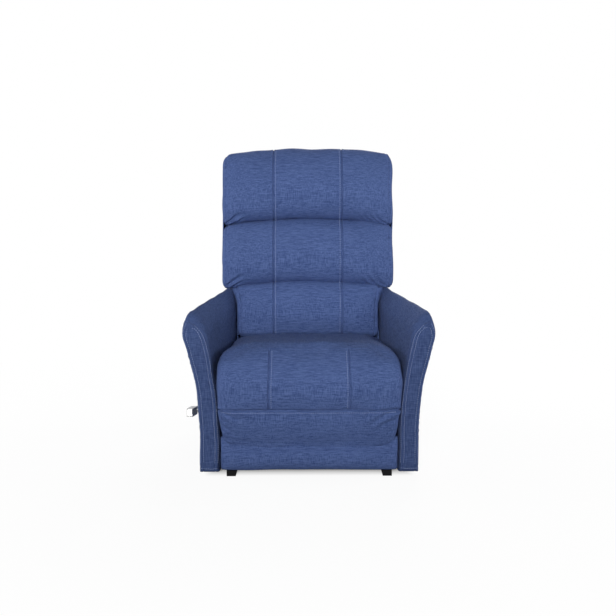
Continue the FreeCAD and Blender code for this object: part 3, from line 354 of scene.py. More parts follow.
def smooth_line(points, count):
    """Points evenly spaced along a smooth curve through the given ones."""
    points = np.array(points, float)
    run = run_along(points)
    slope = np.gradient(points, run, axis=0)
    dense_t = np.linspace(0, run[-1], 40 * len(points))
    span = np.clip(np.searchsorted(run, dense_t, side="right") - 1, 0, len(points) - 2)
    width = (run[span + 1] - run[span])[:, None]
    t = (dense_t[:, None] - run[span][:, None]) / width
    dense = ((2 * t ** 3 - 3 * t ** 2 + 1) * points[span] + (t ** 3 - 2 * t ** 2 + t) * width * slope[span]
             + (3 * t ** 2 - 2 * t ** 3) * points[span + 1] + (t ** 3 - t ** 2) * width * slope[span + 1])
    length = run_along(dense)
    return at_run(np.linspace(0, length[-1], count), length, dense)


def lens(u, power):
    """Share of the full thickness of a stuffed form at a share of its half width."""
    return (1 - np.abs(u) ** power).clip(0, 1) ** (1 / power)


def even_spread(ratio, power, count):
    """Shares of the half width that lie evenly along a rounded section, from -1 to 1."""
    turn = np.linspace(0, math.pi, 4001)
    u = -np.sign(np.cos(turn)) * np.abs(np.cos(turn)) ** (2 / power)
    v = np.sin(turn) ** (2 / power) * ratio
    run = np.concatenate([[0], np.cumsum(np.hypot(np.diff(u), np.diff(v)))])
    return np.interp(np.linspace(0, run[-1], count), run, u)


def stuffed_rings(front, edge, rear, half, full, power, shares):
    """Rings of a stuffed form. front, edge and rear are its lines in the middle plane."""
    behind = shares[-2:0:-1]
    rings = []
    for f, e, r, h, p in zip(front, edge, rear, half, power):
        over = e[None, :] + (f - e)[None, :] * lens(shares, p)[:, None]
        under = e[None, :] + (r - e)[None, :] * lens(behind, 16)[:, None]
        around = np.concatenate([shares, behind])
        x = around * full - np.sign(around) * (full - h) * np.abs(around) ** 5
        rings.append(np.column_stack([x, np.vstack([over, under])]))
    return np.array(rings)


def resampled(grid, places, axis, ring):
    """Smooth values of a grid at fractional indices along one axis."""
    grid = np.moveaxis(grid, axis, 0)
    count = len(grid)
    base = np.floor(places).astype(int)
    if not ring:
        base = np.minimum(base, count - 2)
    part = (places - base).reshape(-1, *([1] * (grid.ndim - 1)))

    def at(step):
        index = base + step
        return grid[index % count] if ring else grid[np.clip(index, 0, count - 1)]

    a, b, c, d = at(-1), at(0), at(1), at(2)
    value = b + 0.5 * part * (c - a + part * (2 * a - 5 * b + 4 * c - d + part * (3 * (b - c) + d - a)))
    return np.moveaxis(value, 0, axis)


def numbered(rows, columns, first=0):
    """Numbers of a grid of points, row by row."""
    return first + np.arange(rows * columns).reshape(rows, columns)


def grid_faces(numbers):
    """Quads between the neighbours in a grid of point numbers."""
    corners = (numbers[:-1, :-1], numbers[:-1, 1:], numbers[1:, 1:], numbers[1:, :-1])
    return np.stack(corners, axis=-1).reshape(-1, 4).tolist()


def round_faces(numbers):
    """Quads between rows of point numbers that each close round."""
    return grid_faces(np.column_stack([numbers, numbers[:, 0]]))


def ring_faces(stations, ring, front):
    """Faces of a closed form made of rings; both ends are closed across the ring."""
    numbers = numbered(stations, ring)
    faces = round_faces(numbers)
    for row in numbers[[0, -1]].tolist():
        for j in range(front - 1):
            face = list(dict.fromkeys((row[j], row[j + 1], row[-1 - j], row[-j])))
            if len(face) > 2:
                faces.append(face)
    return faces


def mesh_object(name, points, faces, material):
    """A smooth piece with outward faces."""
    mesh = bpy.data.meshes.new(name)
    mesh.from_pydata([tuple(map(float, p)) for p in points], [], faces)
    shape = bmesh.new()
    shape.from_mesh(mesh)
    bmesh.ops.recalc_face_normals(shape, faces=shape.faces)
    shape.to_mesh(mesh)
    shape.free()
    mesh.shade_smooth()
    mesh.materials.append(material)
    made = bpy.data.objects.new(name, mesh)
    scene.collection.objects.link(made)
    return made


def blown_up(grid, faces, held, pressure, cap):
    """Cloth of these faces blown up by its filling. held is 1 where the cloth is sewn down."""
    steps = 20
    points = grid.reshape(-1, 3)
    held = np.round(held.ravel(), 1)
    cover = mesh_object("cloth_being_filled", points, faces, blue_cloth)
    group = cover.vertex_groups.new(name="sewn")
    for amount in np.unique(held):
        if amount > 0:
            group.add(np.nonzero(held == amount)[0].tolist(), float(amount), "REPLACE")
    cloth = cover.modifiers.new("Cloth", "CLOTH")
    settings = dict(quality=5, mass=0.25, tension_stiffness=12, compression_stiffness=12, shear_stiffness=5,
                    bending_stiffness=3.0, use_pressure=True, uniform_pressure_force=pressure,
                    vertex_group_mass="sewn")
    for setting, value in settings.items():
        setattr(cloth.settings, setting, value)
    cloth.settings.effector_weights.gravity = 0
    cloth.collision_settings.use_collision = False
    cloth.point_cache.frame_start = 1
    cloth.point_cache.frame_end = steps
    for step in range(1, steps + 1):
        scene.frame_set(step)
    seen = cover.evaluated_get(bpy.context.evaluated_depsgraph_get())
    filled = np.zeros(len(points) * 3)
    seen.to_mesh().vertices.foreach_get("co", filled)
    seen.to_mesh_clear()
    moved = filled.reshape(-1, 3) - points
    length = np.linalg.norm(moved, axis=1, keepdims=True)
    bpy.data.objects.remove(cover)
    scene.frame_set(1)
    moved = (moved * np.minimum(1, cap / np.maximum(length, 1e-9))).reshape(grid.shape)
    for _ in range(3):
        moved[1:-1] = (moved[:-2] + 2 * moved[1:-1] + moved[2:]) / 4
        moved = (np.roll(moved, 1, axis=1) + 2 * moved + np.roll(moved, -1, axis=1)) / 4
    return grid + moved


def grid_normals(grid, ring=True):
    """Outward normals of a grid of rings, or of rows that are open at their ends."""
    around = np.roll(grid, -1, axis=1) - np.roll(grid, 1, axis=1) if ring else np.gradient(grid, axis=1)
    normal = np.cross(np.gradient(grid, axis=0), around)
    normal /= np.maximum(np.linalg.norm(normal, axis=2, keepdims=True), 1e-12)
    outward = np.sum(normal * (grid - grid.mean(axis=(0, 1))))
    return normal if outward > 0 else -normal


def closer(places, lines):
    """Adds a place for each millimetre near each line, so that a seam is drawn sharply."""
    reach = 5
    extra = [line + offset for line in lines for offset in range(-reach, reach + 1)]
    near = np.any(np.abs(np.subtract.outer(places, lines)) < reach, axis=1)
    return np.unique(np.round(np.concatenate([places[~near], extra]), 6))


def sewn_line(distance, depth, width, swell=0.0):
    """Height of cloth at a distance from a seam that pulls it in; it swells beside the seam."""
    beside = np.exp(-((np.abs(distance) - 3 * width) / (2 * width)) ** 2)
    return -depth * np.exp(-(distance / width) ** 2) + swell * beside


def wrinkle(x, v, start_x, start_v, end_x, end_v, width, depth):
    """Height of a wrinkle that is deepest at its start and fades towards its end."""
    dx, dv = end_x - start_x, end_v - start_v
    length = math.hypot(dx, dv)
    run = ((x - start_x) * dx + (v - start_v) * dv) / length ** 2
    off = ((x - start_x) * dv - (v - start_v) * dx) / length
    bend = off + 0.10 * length * np.sin(math.pi * np.clip(run, 0, 1))
    fade = np.clip((run + 0.12) / 0.2, 0, 1) * np.clip(1.05 - run, 0, 1) ** 0.8
    thick = width * (0.7 + 0.6 * np.clip(run, 0, 1))
    valley = -depth * np.exp(-(bend / thick) ** 2)
    ridge = 0.6 * depth * np.exp(-((np.abs(bend) - 1.9 * thick) / (0.9 * thick)) ** 2)
    return (valley + ridge) * fade


def uneven(x, v, seed, size, height):
    """Soft unevenness of hand-laid filling."""
    rng = np.random.default_rng(seed)
    total = 0
    for _ in range(7):
        angle, phase = rng.uniform(0, 2 * math.pi, 2)
        wave = 2 * math.pi / (size * rng.uniform(0.6, 1.6))
        total = total + np.sin(wave * (x * math.cos(angle) + v * math.sin(angle)) + phase)
    return height * total / 3


def long_seam(x, side, seam):
    """Height across one of two long seams and the topstitching beside it."""
    beside = sewn_line(x - side * (seam - TOPSTITCH), 0.9, 1.6)
    return sewn_line(x - side * seam, 4.5, 1.9, 0.7) + beside


def puckers(rng, x, v, seam, low, high, near, far):
    """Height of short wrinkles at random places beside two long seams."""
    rise = 0
    for _ in range(14):
        side, away = rng.choice([-1, 1], 2)
        at = rng.uniform(low, high)
        stop = (side * seam + away * rng.uniform(near, far), at + rng.uniform(-6, 6))
        rise = rise + wrinkle(x, v, side * seam + away * 4, at, *stop, 4, rng.uniform(0.4, 1.0))
    return rise


def stitches(name, line, normals, pitch=0.0075, length=0.0056, thick=0.0009):
    """Row of short thread stitches along a line of points on the cloth."""
    run = run_along(line)
    points, faces = [], []
    place = pitch / 2
    while place + length < run[-1]:
        start = at_run(place, run, line)
        up = at_run(place, run, normals)
        up /= np.linalg.norm(up)
        ahead = at_run(place + length, run, line) - start
        side = np.cross(ahead, up)
        side /= np.linalg.norm(side)
        numbers = numbered(4, 5, len(points))
        faces += round_faces(numbers) + [numbers[0, ::-1].tolist(), numbers[-1].tolist()]
        for part, fat in ((0, 0.35), (0.2, 1), (0.8, 1), (1, 0.35)):
            centre = start + ahead * part + up * thick * (0.8 * fat - 0.3)
            for k in range(5):
                turn = 2 * math.pi * k / 5
                points.append(centre + (side * math.cos(turn) + up * math.sin(turn)) * thick * fat)
        place += pitch
    row = mesh_object(name, points, faces, thread_painted_highlight)
    return row


def topstitched(name, fine, normal, across, rows, seam):
    """A row of thread stitches beside each of the two long seams of a pad."""
    made = []
    for label, side in (("left", 1), ("right", -1)):
        column = int(np.argmin(np.abs(across - side * (seam - TOPSTITCH))))
        made.append(stitches(name + label, fine[rows, column], normal[rows, column]))
    return made


def sewn_pad(name, rings, shares, full, seams_x, seams_v, place, relief, cap, pressure=4, pitch=4.0):
    """Fills a stuffed form, then draws its seams and wrinkles into a finer mesh of it."""
    stations, ring = rings.shape[:2]
    count = len(shares)
    run = run_along(rings[:, count // 2, 1:])
    held = np.zeros((stations, ring))
    held[:, count - 1:] = held[:, :1] = held[:1] = held[-1:] = 1
    if seams_v:
        held[int(np.argmin(np.abs(run - seams_v[-1]))), :count] = 0.9
    coarse = blown_up(place(rings), ring_faces(stations, ring, count), held, pressure, cap)
    lines = [line for seam in seams_v for line in (seam, seam + TOPSTITCH)]
    v = np.append(closer(np.arange(0, run[-1] - 1, pitch), lines), run[-1])
    v = np.unique(v[(v >= 0) & (v <= run[-1])])
    lines = [line for seam in seams_x for line in (seam, seam - math.copysign(TOPSTITCH, seam))]
    lines += [SIDE_SEAM - full, full - SIDE_SEAM]
    across = closer(even_spread(0.2, 3.0, int(2 * full / pitch * 1.15)) * full, lines)
    across = np.concatenate([[-full], across[np.abs(across) < full - 0.2], [full]])
    columns = np.interp(across / full, shares, np.arange(count))
    hidden = np.linspace(count - 1, ring, 50)[1:-1]
    fine = resampled(coarse, np.interp(v, run, np.arange(stations)), 0, False)
    fine = resampled(fine, np.concatenate([columns, hidden]), 1, True)
    rise = np.zeros(fine.shape[:2])
    rise[:, :len(across)] = relief(across[None, :], v[:, None], run[-1])
    fine = fine + grid_normals(fine) * (rise * MM)[:, :, None]
    made = mesh_object(name, fine.reshape(-1, 3), ring_faces(*fine.shape[:2], len(across)), blue_cloth)
    return made, fine, grid_normals(fine), across, v


def from_arm_front(rings):
    """Millimetres behind the arm fronts, turned into the frame's metres."""
    placed = rings * MM
    placed[..., 1] += ARM_FRONT
    return placed


PAD_FRONT_LINE = [(540, 350), (543, 360), (526, 379), (480, 390), (400, 399), (300, 411), (200, 424),
                  (120, 434), (70, 438), (34, 434), (2, 418), (-20, 396), (-34, 368), (-41, 335), (-40, 300),
                  (-36, 268), (-31, 248), (-27, 241), (-27, 231), (-24, 208), (-16, 180), (-7, 152),
                  (0, 124), (6, 99), (14, 93)]
PAD_EDGE_LINE = [(534, 351), (490, 355), (400, 362), (300, 370), (200, 380), (120, 390), (60, 392),
                 (25, 382), (6, 362), (-4, 335), (-7, 300), (-7, 250), (-6, 200), (-3, 160), (2, 126),
                 (9, 104)]
PAD_REAR_LINE = [(530, 346), (490, 331), (400, 318), (300, 318), (200, 326), (120, 338), (70, 346),
                 (46, 350), (30, 344), (22, 326), (19, 290), (19, 240), (19, 200), (19, 160), (18, 124),
                 (15, 105)]
PAD_HALVES = [282, 286, 298, 309, 312, 308, 303, 296, 290, 268]
PAD_STATIONS = 84
pad_front = smooth_line(PAD_FRONT_LINE, PAD_STATIONS)
pad_edge = smooth_line(PAD_EDGE_LINE, PAD_STATIONS)
pad_rear = smooth_line(PAD_REAR_LINE, PAD_STATIONS)
pad_run = np.linspace(0, np.linalg.norm(np.diff(pad_front, axis=0), axis=1).sum(), PAD_STATIONS)
pad_end = pad_run[-1]


def pad_place(column, value, elsewhere):
    """Distance along the pad at which its front line comes nearest to a value."""
    return pad_run[int(np.argmin(np.abs(pad_front[:, column] - value) + elsewhere * 999))]


cross_v = pad_place(1, 241, pad_front[:, 0] > 0)
crown_v = pad_place(0, 34, pad_front[:, 1] < 410)
knee_v = pad_place(1, 395, pad_front[:, 0] > 0)
half_places = [0, 60, knee_v - 120, knee_v, knee_v + 60, cross_v, cross_v + 40]
pad_half = np.interp(pad_run, half_places + [pad_end - 60, pad_end - 25, pad_end], PAD_HALVES)
pad_power = np.interp(pad_run, [0, knee_v - 90, knee_v + 10, cross_v, pad_end], [4.5, 4.0, 3.4, 4.2, 4.6])
pad_shares = even_spread(0.2, 3.2, 62)
pad_rings = stuffed_rings(pad_front, pad_edge, pad_rear, pad_half, PAD_HALF, pad_power, pad_shares)
corner_rise = 20 * (np.abs(pad_rings[..., 0]) / 300) ** 5
pad_rings[..., 2] += corner_rise * np.clip((pad_run - pad_end + 90) / 90, 0, 1)[:, None]

# Wrinkles as start, end, width and depth, with places across the pad and below its cross seam.
SEAT_WRINKLES = [(-298, 3, -205, 32, 7, 4.5), (-292, 16, -232, 44, 6, 2.0), (-296, 62, -240, 92, 7, 3.0),
                 (-285, 88, -235, 100, 6, 1.5), (302, 3, 196, 64, 9, 8.0), (298, -6, 214, 22, 7, 4.5),
                 (240, 4, 180, 36, 9, 4.0), (290, 40, 225, 78, 8, 3.5), (204, 6, 172, 52, 8, 2.5)]


def seat_relief(x, v, end):
    """Seams, gathers and wrinkles of the seat and legrest pad."""
    above = 1 / (1 + np.exp((v - cross_v) / 1.5)) / (1 + np.exp((crown_v - v) / 1.5))
    rise = sewn_line(v - cross_v, 6.0, 2.6, 1.2) + sewn_line(v - cross_v - TOPSTITCH, 0.9, 1.8) + 0 * x
    rise += sewn_line(v - crown_v, 0.9, 2.4, 0.3)
    for side in (-1, 1):
        rise += long_seam(x, side, SEAM_X) * above
    for shape in SEAT_WRINKLES:
        rise += wrinkle(x, v - cross_v, *shape)
    rng = np.random.default_rng(7)
    for _ in range(40):
        side = rng.choice([-1, 1])
        at = rng.uniform(knee_v - 60, end - 25)
        stop = (side * rng.uniform(262, 284), at + rng.uniform(-12, 12))
        rise += wrinkle(x, v, side * 304, at, *stop, 4, rng.uniform(0.8, 2.2))
    rise += puckers(rng, x, v, SEAM_X, crown_v + 12, cross_v - 10, 18, 34)
    return rise + uneven(x, v, 3, 150, 1.6)


seat_pad, fine, normal, across, v = sewn_pad(
    "seat_and_legrest_pad", pad_rings, pad_shares, PAD_HALF, (-SEAM_X, SEAM_X), (crown_v, cross_v),
    from_arm_front, seat_relief, cap=0.012)
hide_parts("seat_cushion", "knee_roll", "legrest_pad")
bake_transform(seat_pad)
seat_rows = (v < cross_v - 3) & (v > crown_v + 3)
for row in topstitched("seat_topstitch_", fine, normal, across, seat_rows, SEAM_X):
    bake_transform(row)
cross_row = int(np.argmin(np.abs(v - cross_v - TOPSTITCH)))
line, outward = fine[cross_row, 6:len(across) - 6], normal[cross_row, 6:len(across) - 6]
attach(stitches("legrest_cross_topstitch", line, outward), "legrest")

# Front strip below the legrest pad: cloth over thin foam on the legrest board, turned under at
# the bottom edge and stapled behind.
STRIP_HALF = 301.0
STRIP_FRONT_LINE = [(15, 138), (10, 132), (9, 114), (5, 98), (-3, 89), (-8, 79), (-11, 66), (-9, 48),
                    (-6, 33), (0, 23), (12, 20)]
STRIP_EDGE_LINE = [(17, 134), (12, 122), (4, 90), (4, 45), (9, 27), (16, 23)]
STRIP_REAR_LINE = [(19, 132), (19.6, 90), (19.6, 60), (19.6, 40), (19, 25)]


def covered_board(name, half, lines, count, spread, power, waves, hem, **filling):
    """A board with thin padding under its cloth, and a shallow line near its two side edges."""
    front, edge, rear = (smooth_line(line, count) for line in lines)
    shares = even_spread(*spread, 60)
    rings = stuffed_rings(front, edge, rear, np.full(count, half), half, np.full(count, power), shares)

    def board_relief(x, v, end):
        return uneven(x, v, *waves) + sewn_line(np.abs(x) - half + hem, 0.8, 2.0)

    return sewn_pad(name, rings, shares, half, (), (), from_arm_front, board_relief, **filling)[0]


strip = covered_board("legrest_front_strip", STRIP_HALF, (STRIP_FRONT_LINE, STRIP_EDGE_LINE, STRIP_REAR_LINE),
                      count=30, spread=(0.04, 5.0), power=9.0, waves=(11, 110, 1.0), hem=9, cap=0.004,
                      pressure=2)
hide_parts("legrest_bottom_panel")
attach(strip, "legrest")

# Back pillows: three stuffed sections, one above the other, sewn to the back along the creases
# between them. Each is three panels wide with topstitched seams, has a boxed side, and is
# gathered where the crease meets its lower corners.
HINGE_Y, HINGE_Z = 560.0, 360.0
RAKE = math.radians(13)
BACK_SEAM = 135.0


def on_back(rings):
    """Places (x, rearward, upward) millimetres of the upright back on the leaning back."""
    x, n, s = rings[..., 0], rings[..., 1], rings[..., 2]
    y = HINGE_Y + n * math.cos(RAKE) + s * math.sin(RAKE)
    z = HINGE_Z - n * math.sin(RAKE) + s * math.cos(RAKE)
    return from_arm_front(np.stack([x, y, z], axis=-1))


PILLOWS = {
    "head": dict(
        half=336, replaces="head_pillow", droop=34, arch=24, corner=34, power=4.6, wings=(10, 26),
        front=[(40, 769), (18, 771), (-4, 763), (-22, 743), (-41, 712), (-60, 668), (-71, 618),
               (-73, 580), (-69, 540), (-58, 512), (-38, 492), (-8, 480), (12, 483)],
        edge=[(36, 750), (10, 745), (-8, 728), (-14, 690), (-16, 640), (-16, 580), (-15, 530),
              (-10, 502), (4, 492)],
        wrinkles=[(-322, 10, -232, 52, 7, 8.0), (-300, 26, -250, 66, 6, 4.0), (-280, 8, -225, 34, 6, 4.5),
                  (318, 8, 255, 62, 6, 6.0), (292, 6, 236, 56, 6, 7.0), (262, 6, 214, 50, 7, 5.0),
                  (234, 6, 196, 38, 6, 3.0), (-328, 196, -296, 204, 5, 3.0), (-326, 268, -292, 246, 6, 4.0),
                  (326, 266, 296, 240, 5, 3.5), (-318, 120, -290, 116, 5, 2.0),
                  (322, 110, 292, 118, 6, 2.5)]),
    "middle": dict(
        half=335, replaces="middle_pillow", droop=35, arch=34, corner=24, power=4.4, wings=(16, 24),
        front=[(24, 490), (6, 488), (-16, 479), (-38, 456), (-58, 412), (-67, 365), (-68, 322),
               (-64, 290), (-54, 261), (-36, 240), (-6, 228), (12, 231)],
        edge=[(16, 481), (0, 474), (-12, 448), (-15, 400), (-16, 350), (-15, 296), (-10, 256), (4, 243)],
        wrinkles=[(-320, 14, -236, 58, 7, 7.0), (-296, 6, -226, 36, 6, 5.0), (-290, 30, -246, 66, 6, 3.0),
                  (312, 10, 262, 66, 6, 6.0), (288, 6, 232, 58, 6, 7.0), (250, 4, 204, 44, 7, 5.0),
                  (222, 4, 188, 30, 6, 3.0), (-324, 236, -290, 222, 5, 4.0), (324, 232, 292, 214, 5, 4.0),
                  (-324, 140, -294, 134, 5, 2.0), (324, 150, 290, 140, 5, 2.0)]),
    "lumbar": dict(
        half=278, replaces="lumbar_pillow", droop=6, arch=22, corner=6, power=5.5, wings=(2, 14),
        front=[(20, 241), (0, 239), (-26, 229), (-42, 203), (-50, 165), (-53, 130), (-48, 98),
               (-35, 72), (-22, 50), (-12, 30), (8, 18)],
        edge=[(14, 235), (2, 226), (-8, 194), (-10, 140), (-8, 95), (-4, 62), (0, 42), (8, 26)],
        wrinkles=[(-262, 178, -214, 160, 7, 4.0), (262, 172, 210, 150, 7, 4.0), (-262, 60, -222, 78, 7, 3.0),
                  (262, 64, 220, 84, 7, 3.0)]),
}
PILLOW_REAR = 41.0
PILLOW_STATIONS = 44


def drawn_in(run):
    """Share by which a pillow's sides are drawn in at a distance from one of its ends."""
    return 1 - lens(np.clip(1 - run / 70.0, 0, 1), 2.2)


for label, facts in PILLOWS.items():
    half = facts["half"]
    front = smooth_line(facts["front"], PILLOW_STATIONS)
    edge = smooth_line(facts["edge"], PILLOW_STATIONS)
    top, bottom = facts["front"][0][1], facts["front"][-1][1]
    rear = np.column_stack([np.full(PILLOW_STATIONS, PILLOW_REAR),
                            np.linspace(top - 8, bottom + 6, PILLOW_STATIONS)])
    run = np.linspace(0, np.linalg.norm(np.diff(front, axis=0), axis=1).sum(), PILLOW_STATIONS)
    top_in, bottom_in = facts["wings"]
    halves = half - top_in * drawn_in(run) - bottom_in * drawn_in(run[-1] - run)
    if label == "lumbar":
        halves = halves + np.interp(rear[:, 1], [140, 175, 205, 228], [0, 8, 19, 22])
    shares = even_spread(0.3, 3.6, 70)
    power = np.full(PILLOW_STATIONS, facts["power"])
    rings = stuffed_rings(front, edge, rear, halves, half, power, shares)
    low = ((rings[..., 2] - bottom) / (top - bottom)).clip(0, 1)
    spread = np.abs(rings[..., 0] / half)
    rings[..., 2] -= facts["droop"] * spread ** 2.6 * (1 - low) ** 1.2
    rings[..., 2] -= facts["arch"] * spread ** 2.2 * low ** 2 * np.where(rings[..., 0] < 0, 1.0, 0.75)
    turn = np.clip((np.abs(rings[..., 0]) - half + facts["corner"]) / facts["corner"], 0, 1)
    rings[..., 2] -= facts["corner"] * (1 - np.sqrt(1 - turn ** 2)) * low ** 4

    def pillow_relief(x, v, end, facts=facts, half=half, seed=len(label)):
        """Seams, boxing, gathers and wrinkles of a pillow; v runs down from its top."""
        rise = 0 * (x + v)
        for side in (-1, 1):
            rise += long_seam(x, side, BACK_SEAM)
            rise += sewn_line(x - side * (half - SIDE_SEAM), 2.6, 2.6, 0.6)
        up = end - v - 22
        for shape in facts["wrinkles"]:
            rise += wrinkle(x, up, *shape)
        rng = np.random.default_rng(seed)
        for _ in range(30):
            side = rng.choice([-1, 1])
            at = rng.uniform(10, end - 60)
            stop = (side * (half - rng.uniform(30, 56)), at + rng.uniform(-14, 14))
            rise += wrinkle(x, up, side * (half - 12), at, *stop, 4, rng.uniform(0.6, 1.8))
        rise += puckers(rng, x, up, BACK_SEAM, 20, end - 60, 16, 32)
        for _ in range(26):
            at = rng.uniform(-half + 50, half - 50)
            start = (at, rng.uniform(4, 10))
            stop = (at + rng.uniform(-8, 8), rng.uniform(22, 34))
            rise += wrinkle(x, up, *start, *stop, 4, rng.uniform(0.2, 0.7))
        return rise + uneven(x, v, seed, 130, 1.8)

    pillow, fine, normal, across, v = sewn_pad(label + "_cushion", rings, shares, half,
                                               (-BACK_SEAM, BACK_SEAM), (), on_back, pillow_relief, cap=0.022)
    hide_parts(facts["replaces"])
    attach(pillow, "back")
    rows = (v > 12) & (v < v[-1] - 18)
    for row in topstitched(label + "_topstitch_", fine, normal, across, rows, BACK_SEAM):
        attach(row, "back")

# Arms: plywood frames padded all round and covered in cloth, slim at the floor and flared
# outwards at the top, where they roll over. A front panel closes each, with a double-stitched
# seam round it, and the cloth is hemmed at the floor.
ARM_LEVELS = (0.0, 0.33, 0.55, 0.77, 0.91)
ARM_SIDES = {"front": ((6, 6, 16, 37, 56), (77, 78, 87, 115, 127), 108),
             "rear": ((-13, -13, -17, -18, -18), (51, 51, 52, 55, 55), 4)}
ARM_TOP, ARM_BOTTOM = 564.0, 14.0
ARM_LENGTH, ARM_TAPER = 700.0, 600.0
ROLL = 55.0
HALF_GAP = 299.0
PANEL_BACK = 7.0
SEAM_IN = 10.0
STITCH_OFF = 4.5
ARM_RING = 150
ARM_WRINKLES = [(520, 16, 470, 70, 8, 3.5), (560, 10, 520, 60, 7, 3.0), (480, 560, 420, 480, 14, 3.0),
                (430, 600, 380, 520, 12, 2.5)]


def arm_line(y):
    """Outline of the left arm at a place along it, from the floor inside to the floor outside."""
    part = min(1.0, y / ARM_TAPER)
    if y < ROLL:
        top = ARM_TOP - ROLL + math.sqrt(max(0.0, ROLL ** 2 - (ROLL - y) ** 2))
    elif y > ARM_TAPER:
        top = ARM_TOP - 46 * math.sin((y - ARM_TAPER) / (ARM_LENGTH - ARM_TAPER) * math.pi / 2)
    else:
        top = ARM_TOP
    (inner_f, outer_f, crest_f), (inner_r, outer_r, crest_r) = ARM_SIDES["front"], ARM_SIDES["rear"]
    roll_from = ARM_BOTTOM + ARM_LEVELS[3] * (ARM_TOP - ARM_BOTTOM)
    inner, outer = [], []
    for i, rise in enumerate(ARM_LEVELS):
        z = ARM_BOTTOM + rise * (ARM_TOP - ARM_BOTTOM)
        if z > roll_from:
            z = roll_from + (z - roll_from) * (top - roll_from) / (ARM_TOP - roll_from)
        inner.append((HALF_GAP + inner_f[i] + (inner_r[i] - inner_f[i]) * part, z))
        outer.append((HALF_GAP + outer_f[i] + (outer_r[i] - outer_f[i]) * part, z))
    crest = (HALF_GAP + crest_f + (crest_r - crest_f) * part, top)
    return smooth_line(inner + [crest] + outer[::-1], ARM_RING)


arm_places = np.unique(np.concatenate([np.linspace(PANEL_BACK, 40, 12), np.linspace(40, ARM_TAPER, 110),
                                       np.linspace(ARM_TAPER, ARM_LENGTH, 26)]))
arm_grid = np.array([np.column_stack([line[:, 0], np.full(ARM_RING, y), line[:, 1]])
                     for y, line in ((y, arm_line(y)) for y in arm_places)])
arm_run = np.linspace(0, 1, ARM_RING)[None, :]
arm_y = arm_places[:, None]
across = 0.5 - 0.5 * np.cos(np.linspace(0, math.pi, 37))
half = ARM_RING // 2
levels = np.arange(half)


def end_panel(rim, bulge, seed):
    """Points between the two sides of one end of the arm, bulging out of its sunk seam."""
    inner, outer = rim[levels], rim[ARM_RING - 1 - levels]
    points = inner[:, None, :] * (1 - across)[None, :, None] + outer[:, None, :] * across[None, :, None]
    up = np.linspace(0, 1, half)[:, None]
    dome = lens(2 * across[None, :] - 1, 3.0) * lens(up, 14) * lens(1 - np.clip(up / 0.03, 0, 1), 2)
    loose = uneven(points[..., 0] * 1000, points[..., 2] * 1000, seed, 90, 0.8)
    points[..., 1] += (bulge + loose * math.copysign(1, bulge)) * dome * MM
    apart = points[:, :, None, ::2] - rim[None, None, :, ::2]
    to_rim = np.sqrt((apart ** 2).sum(-1)).min(-1) * 1000
    sunk = sewn_line(to_rim - SEAM_IN, 3.4, 2.0)[:, 1:-1]
    points[:, 1:-1, 1] += sunk * math.copysign(MM, bulge)
    return points


for side, label in ((1, "left"), (-1, "right")):
    grid = arm_grid.copy()
    grid[..., 0] *= side
    placed = from_arm_front(grid)
    length = run_along(grid[40])[None, :]
    rise = uneven(length, arm_y, 20 + side, 160, 1.3)
    rise -= 5.0 * np.exp(-(arm_y - PANEL_BACK) / 9) + 4.5 * np.exp(-(ARM_LENGTH - arm_y) / 8)
    rng = np.random.default_rng(40 + side)
    for _ in range(46):
        at = rng.uniform(0.1, 0.9) * length[0, -1]
        stop = (at + rng.uniform(-10, 10), rng.uniform(24, 46))
        rise += wrinkle(length, arm_y, at, PANEL_BACK, *stop, 5, rng.uniform(0.5, 1.6))
    for shape in ARM_WRINKLES:
        rise += wrinkle(length, arm_y, *shape)
    rise += sewn_line(length - 16, 1.0, 2.0) + sewn_line(length - length[0, -1] + 16, 1.0, 2.0)

    # The padding is dented round the lever's bush in one arm and the switch plate in the other.
    if side < 0:
        dent = ((arm_y - 235) / 34) ** 2 + ((grid[..., 2] - 168) / 34) ** 2
    else:
        dent = ((arm_y - 205) / 60) ** 4 + ((grid[..., 2] - 230) / 46) ** 4
    rise -= 7.0 * np.exp(-dent) * (arm_run > 0.5)
    placed = placed + grid_normals(placed, ring=False) * (rise * MM)[:, :, None]
    points = placed.reshape(-1, 3)
    stations = len(arm_places)
    faces = grid_faces(numbered(stations, ARM_RING))
    for station, bulge, seed in ((0, -12, 50), (stations - 1, 5, 60)):
        inside = end_panel(placed[station], bulge, seed + side)[:, 1:-1]
        panel = np.column_stack([station * ARM_RING + levels, numbered(*inside.shape[:2], len(points)),
                                 (station + 1) * ARM_RING - 1 - levels])
        points = np.concatenate([points, inside.reshape(-1, 3)])
        faces += grid_faces(panel)
        if station == 0:
            front_panel = panel

    # At the floor the cloth is turned in under the arm.
    for column, inward in ((0, 1), (ARM_RING - 1, -1)):
        edge = np.arange(stations) * ARM_RING + column
        faces += grid_faces(np.array([edge, len(points) + np.arange(stations)]))
        points = np.concatenate([points, points[edge] + (0.014 * inward * side, 0, 0.001)])
    arm = mesh_object("arm_padding_" + label, points, faces, arm_cloth_painted_shade)
    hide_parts("arm_cover_" + label)
    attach(arm, "chassis")
    for name, reach in (("inner", SEAM_IN + STITCH_OFF), ("outer", SEAM_IN - STITCH_OFF)):
        line = []
        for way in (1, -1):
            side_line = []
            for numbers in front_panel[4:]:
                face = points[numbers][::way]
                if np.linalg.norm(face[-1] - face[0]) > (2 * reach + 12) * MM:
                    run = np.linalg.norm(face - face[0], axis=1)
                    side_line.append(at_run(reach * MM, run, face))
            line += side_line[::way]
        forward = np.tile([0.0, -1.0, 0.0], (len(line), 1))
        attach(stitches("arm_panel_stitching_" + name + "_" + label, np.array(line), forward), "chassis")
    hem = points[front_panel[2, 1:-1]]
    forward = np.tile([0.0, -1.0, 0.0], (len(hem), 1))
    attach(stitches("arm_hem_stitching_" + label, hem, forward), "chassis")

